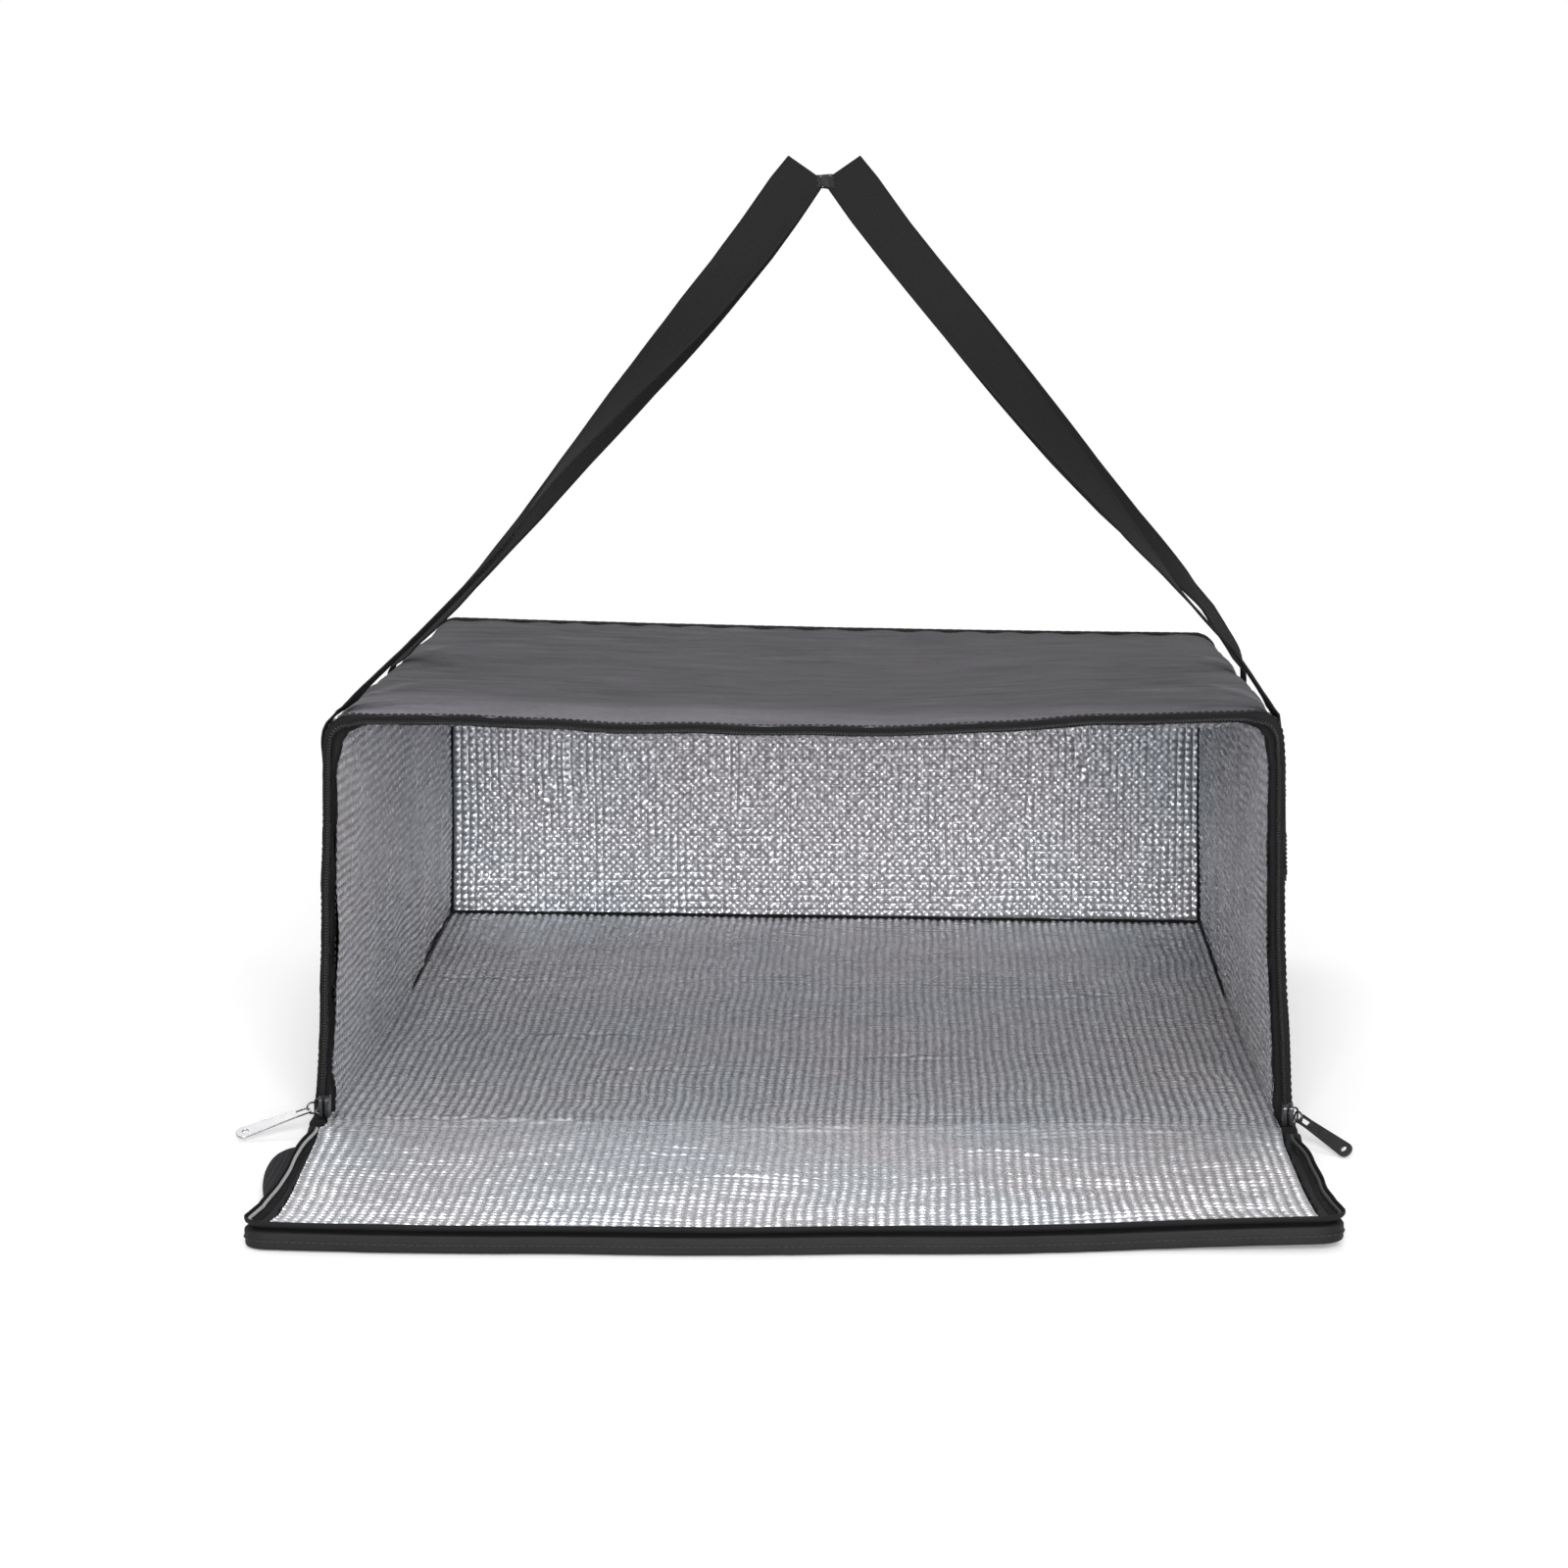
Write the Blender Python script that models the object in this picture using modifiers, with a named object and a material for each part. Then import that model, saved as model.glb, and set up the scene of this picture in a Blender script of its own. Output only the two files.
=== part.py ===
"""Insulated delivery bag with a front flap that zips along its sides and top.

The bag lies open: the flap rests on the floor in front of the mouth. X runs
across the mouth, Y from the mouth to the back, Z up. The origin is the middle
of the base, on the floor. All lengths are in metres.
"""

import math

import bmesh
import bpy
from mathutils import Matrix, Vector

# Bag
BAG_WIDTH = 0.520
BAG_DEPTH = 0.520
BAG_HEIGHT = 0.220
TOP_RADIUS = 0.013
FIT_GAP = 0.0003

# Wall layers, from the outside in
SHELL_THICKNESS = 0.0008
FOAM_THICKNESS = 0.0064
LINER_THICKNESS = 0.0007

# Edge binding, zip tape and coil
BINDING_DEPTH = 0.008
TAPE_THICKNESS = 0.0007
MOUTH_TAPE_REACH = 0.006
FLAP_TAPE_REACH = 0.0025
COIL_RADIUS = 0.0013
COIL_SPACING = 0.0018
PIPING_RADIUS = 0.0015

# Slider and its pull tab
SLIDER_LENGTH = 0.012
SLIDER_PARK_CLEARANCE = 0.0006
PLATE_THICKNESS = 0.001
PLATE_CORNER = 0.0022
CHANNEL_CLEARANCE = 0.0004
FLANGE_WIDTH = 0.001
NECK_LENGTH = 0.003
BRIDGE_WIRE_RADIUS = 0.0006
BRIDGE_HALF_SPAN = 0.004
BRIDGE_RISE = 0.0034
PULL_LENGTH = 0.042
PULL_THICKNESS = 0.0012
PULL_EYE_WIDTH = 0.0056
PULL_END_WIDTH = 0.0082
PULL_WINDOW_WIDTH = 0.0024
PULL_WINDOW_END = 0.0068
PULL_HOLE_RADIUS = 0.0017
PULL_HOLE_INSET = 0.0052
STOP_HEIGHT = 0.0036
STOP_WALL = 0.0006

# Webbing straps
WEBBING_WIDTH = 0.026
WEBBING_THICKNESS = 0.0015
ANCHOR_LENGTH = 0.085
ANCHOR_LAP = 0.003
FRONT_ANCHOR_INSET = 0.026
REAR_ANCHOR_Y = 0.035
APEX_HEIGHT = 0.527
APEX_PITCH = math.radians(53)
ROOT_RISE = 0.012
SHOULDER_REACH = 0.168
TACK_LENGTH = 0.012
TACK_HEIGHT = 0.008
TACK_THICKNESS = 0.0008

# Half-moon tab on the flap's left edge
TAB_LENGTH = 0.118
TAB_BULGE = 0.013
TAB_THICKNESS = 0.0016
TAB_FROM_HINGE = 0.020

# Shares and counts
TWIST_SPAN_SHARE = 0.80
ARC_STEPS = 6
RIBBON_STEPS = 28
TAB_STEPS = 14

# Derived sizes
HALF_WIDTH = BAG_WIDTH / 2
FRONT_Y = -BAG_DEPTH / 2
BACK_Y = BAG_DEPTH / 2
FOAM_OUTER = SHELL_THICKNESS + FIT_GAP
FOAM_INNER = FOAM_OUTER + FOAM_THICKNESS
LINER_OUTER = FOAM_INNER + FIT_GAP
WALL = LINER_OUTER + LINER_THICKNESS
TAPE_INSET = WALL / 2
MOUTH_TAPE_FRONT = FRONT_Y - FIT_GAP - MOUTH_TAPE_REACH
MOUTH_COIL_Y = MOUTH_TAPE_FRONT - FIT_GAP - COIL_RADIUS
MOUTH_COIL_FRONT = MOUTH_COIL_Y - COIL_RADIUS
FLAP_TAPE_TOP = WALL + FIT_GAP + FLAP_TAPE_REACH
FLAP_COIL_Z = FLAP_TAPE_TOP + FIT_GAP + COIL_RADIUS
FLAP_COIL_TOP = FLAP_COIL_Z + COIL_RADIUS
HINGE_Z = SHELL_THICKNESS
HINGE_Y = MOUTH_COIL_FRONT - COIL_SPACING - (FLAP_COIL_TOP - HINGE_Z)
FOLD_HALF = WALL - HINGE_Z + FIT_GAP
STOP_BASE = WALL + FIT_GAP
COIL_BASE = STOP_BASE + STOP_HEIGHT + FIT_GAP
SLIDER_BASE = COIL_BASE + SLIDER_PARK_CLEARANCE
SLIDER_TOP = SLIDER_BASE + SLIDER_LENGTH
SLIDER_MIDDLE = SLIDER_BASE + SLIDER_LENGTH / 2
SLIDER_Y = MOUTH_COIL_FRONT - COIL_SPACING / 2
CHANNEL_HALF = COIL_RADIUS + CHANNEL_CLEARANCE
PLATE_FACE = CHANNEL_HALF + PLATE_THICKNESS
CHANNEL_REACH = COIL_SPACING / 2 + 2 * COIL_RADIUS + CHANNEL_CLEARANCE
SLIDER_HALF_WIDTH = CHANNEL_REACH + FLANGE_WIDTH
ZIP_X = HALF_WIDTH - TAPE_INSET
PULL_AXIS_LIFT = (BRIDGE_RISE - BRIDGE_WIRE_RADIUS) / 2
FLAP_ZIP_BASE = SLIDER_TOP + WALL / 2
STRAP_LAYER = HALF_WIDTH + FIT_GAP + WEBBING_THICKNESS / 2
STRAP_ROOT_X = STRAP_LAYER + WEBBING_THICKNESS + FIT_GAP
ANCHOR_TOP = BAG_HEIGHT + ANCHOR_LAP
STRAP_AXIS_Z = ANCHOR_TOP - WEBBING_WIDTH / 2
ROOT_STRAIGHT = WEBBING_WIDTH / 2 + WEBBING_THICKNESS
FRONT_ANCHOR_Y = FRONT_Y + FRONT_ANCHOR_INSET
APEX_Y = (FRONT_ANCHOR_Y + REAR_ANCHOR_Y) / 2
OVERRUN = BAG_HEIGHT

COLORS = {
    "shell": ((0.135, 0.132, 0.145, 1.0), 0.55, 0.0),
    "binding": ((0.012, 0.012, 0.013, 1.0), 0.75, 0.0),
    "foam": ((0.82, 0.82, 0.80, 1.0), 0.90, 0.0),
    "liner": ((0.60, 0.61, 0.63, 1.0), 0.30, 0.9),
    "coil": ((0.42, 0.42, 0.43, 1.0), 0.45, 0.0),
    "slider": ((0.030, 0.030, 0.032, 1.0), 0.35, 0.8),
    "pull": ((0.25, 0.25, 0.26, 1.0), 0.35, 0.6),
    "webbing": ((0.022, 0.022, 0.024, 1.0), 0.80, 0.0),
    "thread": ((0.016, 0.016, 0.017, 1.0), 0.70, 0.0),
}


def clear_scene():
    """Remove whatever the open file holds."""
    for obj in list(bpy.data.objects):
        bpy.data.objects.remove(obj, do_unlink=True)


def make_collection(name):
    collection = bpy.data.collections.new(name)
    bpy.context.scene.collection.children.link(collection)
    return collection


def give_material(obj, kind):
    """Give an object a material of its own, of one of the named kinds."""
    color, roughness, metallic = COLORS[kind]
    material = bpy.data.materials.new(obj.name)
    material.use_nodes = True
    shader = material.node_tree.nodes["Principled BSDF"]
    shader.inputs["Base Color"].default_value = color
    shader.inputs["Roughness"].default_value = roughness
    shader.inputs["Metallic"].default_value = metallic
    obj.data.materials.append(material)


def add_part(name, data, kind, parent=None, location=(0, 0, 0), turn=(0, 0, 0)):
    """Put data in the model at a world location, under a parent empty if there is one."""
    obj = bpy.data.objects.new(name, data)
    bpy.data.collections["insulated_bag"].objects.link(obj)
    obj.rotation_euler = turn
    obj.location = Vector(location)
    if parent:
        obj.parent = parent
        obj.location = Vector(location) - parent.location
    give_material(obj, kind)
    return obj


def add_axis(name, location):
    """An empty on a joint's axis, which carries the pieces that move with it."""
    axis = bpy.data.objects.new(name, None)
    axis.location = location
    axis.empty_display_size = WEBBING_WIDTH
    bpy.data.collections["insulated_bag"].objects.link(axis)
    return axis


def add_cutter(name, mesh, location=(0, 0, 0)):
    cutter = bpy.data.objects.new(name, mesh)
    cutter.location = location
    cutter.hide_render = True
    cutter.display_type = "WIRE"
    bpy.data.collections["cutters"].objects.link(cutter)
    return cutter


def apply_boolean(obj, other, operation):
    modifier = obj.modifiers.new(other.name, "BOOLEAN")
    modifier.operation = operation
    modifier.object = other
    modifier.solver = "EXACT"


def box_mesh(name, low, high):
    """A box between two corners."""
    mesh = bpy.data.meshes.new(name)
    bm = bmesh.new()
    size = Vector(high) - Vector(low)
    middle = (Vector(high) + Vector(low)) / 2
    bmesh.ops.create_cube(bm, size=1, matrix=Matrix.Translation(middle) @ Matrix.Diagonal((*size, 1)))
    bm.to_mesh(mesh)
    bm.free()
    return mesh


def flat_curve(name, outlines, thickness):
    """A flat outline, with any holes, as a filled curve of the given thickness."""
    curve = bpy.data.curves.new(name, "CURVE")
    curve.dimensions = "2D"
    curve.fill_mode = "BOTH"
    curve.extrude = thickness / 2
    for outline in outlines:
        spline = curve.splines.new("POLY")
        spline.points.add(len(outline) - 1)
        spline.use_cyclic_u = True
        for point, (x, y) in zip(spline.points, outline):
            point.co = (x, y, 0, 1)
    return curve


def wire_curve(name, points, radius, resolution=2):
    """A round wire through points, with closed ends."""
    curve = bpy.data.curves.new(name, "CURVE")
    curve.dimensions = "3D"
    curve.bevel_depth = radius
    curve.bevel_resolution = resolution
    curve.use_fill_caps = True
    spline = curve.splines.new("POLY")
    spline.points.add(len(points) - 1)
    for point, place in zip(spline.points, points):
        point.co = (*place, 1)
    return curve


def curve_to_mesh(name, curve, matrix=Matrix.Identity(4)):
    """The closed mesh of a curve, for pieces that are cut or joined."""
    scratch = bpy.data.objects.new(name, curve)
    bpy.context.scene.collection.objects.link(scratch)
    bpy.context.view_layer.update()
    graph = bpy.context.evaluated_depsgraph_get()
    mesh = bpy.data.meshes.new_from_object(scratch.evaluated_get(graph))
    bpy.data.objects.remove(scratch)
    bm = bmesh.new()
    bm.from_mesh(mesh)
    bmesh.ops.remove_doubles(bm, verts=bm.verts, dist=FIT_GAP / 100)
    bmesh.ops.transform(bm, matrix=matrix, verts=bm.verts)
    bmesh.ops.recalc_face_normals(bm, faces=bm.faces)
    bm.to_mesh(mesh)
    bm.free()
    mesh.name = name
    return mesh


def arc(center, radius, start, end, steps=ARC_STEPS):
    """Points along an arc, with the angles in degrees."""
    points = []
    for step in range(steps + 1):
        angle = math.radians(start + (end - start) * step / steps)
        points.append((center[0] + radius * math.cos(angle), center[1] + radius * math.sin(angle)))
    return points


def wall_path(inset, base):
    """The way round the mouth at one depth in the wall: up the left side, over and down the right."""
    side = HALF_WIDTH - inset
    center_x = HALF_WIDTH - TOP_RADIUS
    center_z = BAG_HEIGHT - TOP_RADIUS
    radius = TOP_RADIUS - inset
    left = arc((-center_x, center_z), radius, 180, 90)
    right = arc((center_x, center_z), radius, 90, 0)
    return [(-side, base)] + left + right + [(side, base)]


def wall_band(outer, inner, base):
    """The outline of a layer that follows the mouth between two depths in the wall."""
    return wall_path(outer, base) + wall_path(inner, base)[::-1]


def add_mouth_part(name, outline, near, far, kind):
    """A piece whose outline is seen from the front, between two depths along Y."""
    curve = flat_curve(name, [outline], far - near)
    return add_part(name, curve, kind, None, (0, (near + far) / 2, 0), (math.pi / 2, 0, 0))


def add_flap_part(name, outline, low, high, kind, parent):
    """A piece of the flap: its outline is that of the closed flap, laid down in front of the mouth."""
    curve = flat_curve(name, [outline], high - low)
    place = (0, HINGE_Y + HINGE_Z, (low + high) / 2)
    return add_part(name, curve, kind, parent, place, (math.pi, 0, 0))


def add_box(name, low, high, kind, parent=None):
    return add_part(name, box_mesh(name, low, high), kind, parent)


def make_shell():
    """The outer fabric: a sleeve over the top and sides, the base and the back."""
    back = BACK_Y - SHELL_THICKNESS - FIT_GAP
    front = FRONT_Y + BINDING_DEPTH + FIT_GAP
    add_mouth_part("shell_sleeve", wall_band(0, SHELL_THICKNESS, FOAM_OUTER), front, back, "shell")
    add_mouth_part("shell_back", wall_path(0, FOAM_OUTER), BACK_Y - SHELL_THICKNESS, BACK_Y, "shell")
    narrow = HALF_WIDTH - BINDING_DEPTH - FIT_GAP
    lip = HINGE_Y + FIT_GAP
    base = [(-narrow, lip), (narrow, lip), (narrow, FRONT_Y), (HALF_WIDTH, FRONT_Y)]
    base += [(HALF_WIDTH, BACK_Y), (-HALF_WIDTH, BACK_Y), (-HALF_WIDTH, FRONT_Y), (-narrow, FRONT_Y)]
    curve = flat_curve("shell_base", [base], SHELL_THICKNESS)
    add_part("shell_base", curve, "shell", None, (0, 0, SHELL_THICKNESS / 2))


def top_board_outline():
    """The top board: flat inside, rounded outside, mitred at 45 degrees to the side boards."""
    gap = FIT_GAP * math.sqrt(2)
    radius = TOP_RADIUS - FOAM_OUTER
    center_x = HALF_WIDTH - TOP_RADIUS
    center_z = BAG_HEIGHT - TOP_RADIUS
    trim = math.degrees(FIT_GAP / radius)
    inner_x = HALF_WIDTH - FOAM_INNER - gap
    inner_z = BAG_HEIGHT - FOAM_INNER
    left = arc((-center_x, center_z), radius, 135 - trim, 90, ARC_STEPS // 2)
    right = arc((center_x, center_z), radius, 90, 45 + trim, ARC_STEPS // 2)
    return [(-inner_x, inner_z)] + left + right + [(inner_x, inner_z)]


def side_board_outline(side):
    """A side board, which stands on the base board and meets the top board's mitre."""
    radius = TOP_RADIUS - FOAM_OUTER
    center_x = HALF_WIDTH - TOP_RADIUS
    center_z = BAG_HEIGHT - TOP_RADIUS
    base = FOAM_INNER + FIT_GAP
    outer = arc((center_x, center_z), radius, 0, 45, ARC_STEPS // 2)
    outline = [(HALF_WIDTH - FOAM_INNER, base), (HALF_WIDTH - FOAM_OUTER, base)]
    outline += outer + [(HALF_WIDTH - FOAM_INNER, BAG_HEIGHT - FOAM_INNER)]
    return [(side * x, z) for x, z in outline]


def make_foam():
    """Foam boards in the top, sides, base and back."""
    front = FRONT_Y + SHELL_THICKNESS + FIT_GAP
    back = BACK_Y - FOAM_OUTER
    add_mouth_part("foam_top", top_board_outline(), front, back, "foam")
    add_mouth_part("foam_left", side_board_outline(-1), front, back, "foam")
    add_mouth_part("foam_right", side_board_outline(1), front, back, "foam")
    side = HALF_WIDTH - FOAM_OUTER
    low = (-side, HINGE_Y + FOLD_HALF, FOAM_OUTER)
    add_box("foam_base", low, (side, back, FOAM_INNER), "foam")
    side = HALF_WIDTH - FOAM_INNER - FIT_GAP
    low = (-side, BACK_Y - FOAM_INNER, FOAM_INNER + FIT_GAP)
    add_box("foam_back", low, (side, back, BAG_HEIGHT - FOAM_INNER - FIT_GAP), "foam")


def make_liner():
    """The foil liner of the base, sides, top and back."""
    front = FRONT_Y + BINDING_DEPTH + FIT_GAP
    back = BACK_Y - LINER_OUTER
    outer = HALF_WIDTH - LINER_OUTER
    inner = HALF_WIDTH - WALL
    side = inner - FIT_GAP
    low = (-side, HINGE_Y + FOLD_HALF, LINER_OUTER)
    add_box("liner_floor", low, (side, BACK_Y - WALL - FIT_GAP, WALL), "liner")
    base = LINER_OUTER
    top = BAG_HEIGHT - WALL - FIT_GAP
    add_box("liner_left", (-outer, front, base), (-inner, back, top), "liner")
    add_box("liner_right", (inner, front, base), (outer, back, top), "liner")
    low = (-outer, front, BAG_HEIGHT - WALL)
    add_box("liner_top", low, (outer, back, BAG_HEIGHT - LINER_OUTER), "liner")
    add_box("liner_back", (-side, BACK_Y - WALL, base), (side, back, top), "liner")


def cut_binding(binding, inside, near, far, turn, location):
    """Hollow a binding to the channel that the layers sit in."""
    matrix = Matrix.Translation(location) @ Matrix.Rotation(turn, 4, "X")
    mesh = curve_to_mesh(binding.name + "_channel", flat_curve("channel", [inside], far - near), matrix)
    apply_boolean(binding, add_cutter(binding.name + "_channel", mesh), "DIFFERENCE")


def mesh_part(name, outline, thickness, matrix, kind, parent=None):
    """An outline piece as a mesh, ready to be cut."""
    mesh = curve_to_mesh(name, flat_curve(name, [outline], thickness), matrix)
    obj = add_part(name, mesh, kind)
    if parent:
        obj.parent = parent
        obj.matrix_parent_inverse = Matrix.Translation(-parent.location)
    return obj


def make_mouth_binding():
    """Tape folded over the front edges of the sides and top."""
    base = WALL + FIT_GAP
    middle = FRONT_Y + BINDING_DEPTH / 2
    matrix = Matrix.Translation((0, middle, 0)) @ Matrix.Rotation(math.pi / 2, 4, "X")
    binding = mesh_part("mouth_binding", wall_band(0, WALL, base), BINDING_DEPTH, matrix, "binding")
    inside = wall_band(SHELL_THICKNESS, WALL - LINER_THICKNESS, base - OVERRUN)
    near = FRONT_Y + SHELL_THICKNESS
    far = near + BINDING_DEPTH
    cut_binding(binding, inside, near, far, math.pi / 2, (0, (near + far) / 2, 0))


def make_flap_binding(flap):
    """Tape folded over the sides and front edge of the flap."""
    base = HINGE_Z + FOLD_HALF
    place = (0, HINGE_Y + HINGE_Z, WALL / 2)
    matrix = Matrix.Translation(place) @ Matrix.Rotation(math.pi, 4, "X")
    binding = mesh_part("flap_binding", wall_band(0, BINDING_DEPTH, base), WALL, matrix, "binding", flap)
    inside = wall_band(SHELL_THICKNESS, BINDING_DEPTH + FIT_GAP, base - OVERRUN)
    low = SHELL_THICKNESS
    high = WALL - LINER_THICKNESS
    place = (0, HINGE_Y + HINGE_Z, (low + high) / 2)
    cut_binding(binding, inside, low, high, math.pi, place)


def make_base_bindings():
    """Short bindings on the two sides of the base, between the mouth and the fold."""
    near = HINGE_Y + FOLD_HALF
    far = FRONT_Y - FIT_GAP
    for side, label in ((-1, "left"), (1, "right")):
        outer = side * HALF_WIDTH
        inner = side * (HALF_WIDTH - BINDING_DEPTH)
        low = (min(outer, inner), near, 0)
        binding = add_box("base_binding_" + label, low, (max(outer, inner), far, WALL), "binding")
        skin = side * (HALF_WIDTH - SHELL_THICKNESS)
        past = side * (HALF_WIDTH - 2 * BINDING_DEPTH)
        low = (min(skin, past), near - WALL, SHELL_THICKNESS)
        high = (max(skin, past), far + WALL, WALL - LINER_THICKNESS)
        mesh = box_mesh(binding.name + "_channel", low, high)
        apply_boolean(binding, add_cutter(binding.name + "_channel", mesh), "DIFFERENCE")


def make_mouth_zip():
    """Zip tape and coil round the mouth, with a stop at each end."""
    band = wall_band(TAPE_INSET - TAPE_THICKNESS / 2, TAPE_INSET + TAPE_THICKNESS / 2, STOP_BASE)
    add_mouth_part("mouth_zip_tape", band, MOUTH_TAPE_FRONT, FRONT_Y - FIT_GAP, "binding")
    points = [(x, MOUTH_COIL_Y, z) for x, z in wall_path(TAPE_INSET, COIL_BASE)]
    add_part("mouth_zip_coil", wire_curve("mouth_zip_coil", points, COIL_RADIUS), "coil")
    half = COIL_RADIUS + STOP_WALL
    for side, label in ((-1, "left"), (1, "right")):
        low = (side * ZIP_X - half, MOUTH_COIL_FRONT, STOP_BASE)
        high = (side * ZIP_X + half, MOUTH_TAPE_FRONT - FIT_GAP, STOP_BASE + STOP_HEIGHT)
        stop = add_box("zip_stop_" + label, low, high, "slider")
        bevel = stop.modifiers.new("rounded", "BEVEL")
        bevel.width = STOP_WALL
        bevel.segments = 2


def make_flap_zip(flap):
    """The flap's zip tape, which stands up round its edge, with its coil on top."""
    band = wall_band(TAPE_INSET - TAPE_THICKNESS / 2, TAPE_INSET + TAPE_THICKNESS / 2, FLAP_ZIP_BASE)
    add_flap_part("flap_zip_tape", band, WALL + FIT_GAP, FLAP_TAPE_TOP, "binding", flap)
    front = HINGE_Y + HINGE_Z
    points = [(x, front - z, FLAP_COIL_Z) for x, z in wall_path(TAPE_INSET, FLAP_ZIP_BASE)]
    coil = add_part("flap_zip_coil", wire_curve("flap_zip_coil", points, COIL_RADIUS), "coil")
    coil.parent = flap
    coil.matrix_parent_inverse = Matrix.Translation(-flap.location)


def make_flap_panel(flap):
    """The flap's shell, foam board and liner."""
    inset = BINDING_DEPTH + FIT_GAP
    base = HINGE_Z + FIT_GAP
    add_flap_part("flap_shell", wall_path(inset, base), 0, SHELL_THICKNESS, "shell", flap)
    base = HINGE_Z + FOLD_HALF
    add_flap_part("flap_foam", wall_path(FOAM_OUTER, base), FOAM_OUTER, FOAM_INNER, "foam", flap)
    add_flap_part("flap_liner", wall_path(inset, base), LINER_OUTER, WALL, "liner", flap)


def make_flap_tab(flap):
    """The half-moon webbing tab on the flap's left edge."""
    edge = -HALF_WIDTH - FIT_GAP
    start = HINGE_Z + FOLD_HALF + TAB_FROM_HINGE
    outline = []
    for step in range(TAB_STEPS + 1):
        share = step / TAB_STEPS
        outline.append((edge - TAB_BULGE * math.sin(math.pi * share), start + TAB_LENGTH * share))
    low = WALL / 2 - TAB_THICKNESS / 2
    add_flap_part("flap_tab", outline, low, low + TAB_THICKNESS, "webbing", flap)


def bezier(points, share):
    """A point on the cubic curve of four points."""
    keep = 1 - share
    weights = (keep ** 3, 3 * keep ** 2 * share, 3 * keep * share ** 2, share ** 3)
    return sum((Vector(point) * weight for point, weight in zip(points, weights)), Vector((0, 0)))


def strap_route(rise):
    """Middle line of a strap's right half, as distance out and height along the strap's plane."""
    half = WEBBING_WIDTH / 2
    end_x = half * math.sin(APEX_PITCH) + FIT_GAP / 2
    end_h = rise - half * math.cos(APEX_PITCH)
    reach = SHOULDER_REACH
    shoulder = (end_x + reach * math.cos(APEX_PITCH), end_h - reach * math.sin(APEX_PITCH))
    root = (STRAP_ROOT_X, ROOT_STRAIGHT)
    return [root, (STRAP_ROOT_X, ROOT_STRAIGHT + ROOT_RISE), shoulder, (end_x, end_h)]


def ribbon_section(place, along, twist, side):
    """The four corners of the webbing at one place of its route."""
    across = Vector((along.y, 0, -along.x))
    width = across * math.cos(twist) + Vector((0, 1, 0)) * math.sin(twist)
    depth = Vector((along.x, 0, along.y)).cross(width)
    middle = Vector((place.x, 0, place.y))
    width *= WEBBING_WIDTH / 2
    depth *= WEBBING_THICKNESS / 2
    corners = (middle - width - depth, middle + width - depth, middle + width + depth, middle - width + depth)
    return [Vector((side * corner.x, corner.y, corner.z)) for corner in corners]


def ribbon_sections(route, side):
    """Sections of the webbing from its root, edge-on at the side, to the top, where it is face-on."""
    sections = [ribbon_section(Vector((STRAP_ROOT_X, 0)), Vector((0, 1)), math.radians(90), side)]
    for step in range(RIBBON_STEPS + 1):
        share = step / RIBBON_STEPS
        ahead = bezier(route, min(share + 1 / RIBBON_STEPS, 1))
        behind = bezier(route, max(share - 1 / RIBBON_STEPS, 0))
        twist = math.radians(90) * min((1 - share) / TWIST_SPAN_SHARE, 1)
        along = (ahead - behind).normalized()
        sections.append(ribbon_section(bezier(route, share), along, twist, side))
    return sections


def ribbon_mesh(name, sections):
    """Faces between the ribbon's sections, with a flat face at each end."""
    bm = bmesh.new()
    rings = [[bm.verts.new(corner) for corner in section] for section in sections]
    for lower, upper in zip(rings, rings[1:]):
        for corner in range(len(lower)):
            following = (corner + 1) % len(lower)
            bm.faces.new((lower[corner], lower[following], upper[following], upper[corner]))
    bm.faces.new(rings[0][::-1])
    bm.faces.new(rings[-1])
    bmesh.ops.triangulate(bm, faces=bm.faces)
    bmesh.ops.recalc_face_normals(bm, faces=bm.faces)
    mesh = bpy.data.meshes.new(name)
    bm.to_mesh(mesh)
    bm.free()
    return mesh


def round_end_mesh(name, side):
    """The strap's rounded lower end, centred on the axis that it swings on."""
    outline = arc((0, 0), WEBBING_WIDTH / 2, 180, 360, 2 * ARC_STEPS)
    curve = flat_curve(name, [outline], WEBBING_THICKNESS)
    turn = Matrix.Rotation(math.pi / 2, 4, "Z") @ Matrix.Rotation(math.pi / 2, 4, "X")
    return curve_to_mesh(name, curve, Matrix.Translation((side * STRAP_ROOT_X, 0, 0)) @ turn)


def make_strap(name, anchor_y, toward):
    """One carrying strap: two halves that rise from the sides and meet at the top, and their tack.

    toward is +1 for a strap that leans to the back and -1 for one that leans to the front.
    """
    axis = add_axis(name + "_axis", (0, anchor_y, STRAP_AXIS_Z))
    run = abs(APEX_Y - anchor_y) - WEBBING_THICKNESS - FIT_GAP
    climb = APEX_HEIGHT - STRAP_AXIS_Z
    rise = math.hypot(run, climb)
    lean = Matrix.Rotation(-toward * math.atan2(run, climb), 4, "X")
    for side, label in ((-1, "left"), (1, "right")):
        mesh = ribbon_mesh(name + "_" + label, ribbon_sections(strap_route(rise), side))
        mesh.transform(lean)
        half = add_part(name + "_" + label, mesh, "webbing")
        half.parent = axis
        end = round_end_mesh(half.name + "_end", side)
        end.transform(lean)
        other = add_cutter(half.name + "_end", end)
        other.parent = axis
        apply_boolean(half, other, "UNION")
    low = rise - WEBBING_WIDTH * math.cos(APEX_PITCH) - TACK_HEIGHT / 2
    near = WEBBING_THICKNESS / 2 + FIT_GAP
    depth = sorted((-toward * near, -toward * (near + TACK_THICKNESS)))
    corner_low = (-TACK_LENGTH / 2, depth[0], low)
    tack_mesh = box_mesh(name + "_tack", corner_low, (TACK_LENGTH / 2, depth[1], low + TACK_HEIGHT))
    tack_mesh.transform(lean)
    tack = add_part(name + "_tack", tack_mesh, "thread")
    tack.parent = axis


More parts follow.
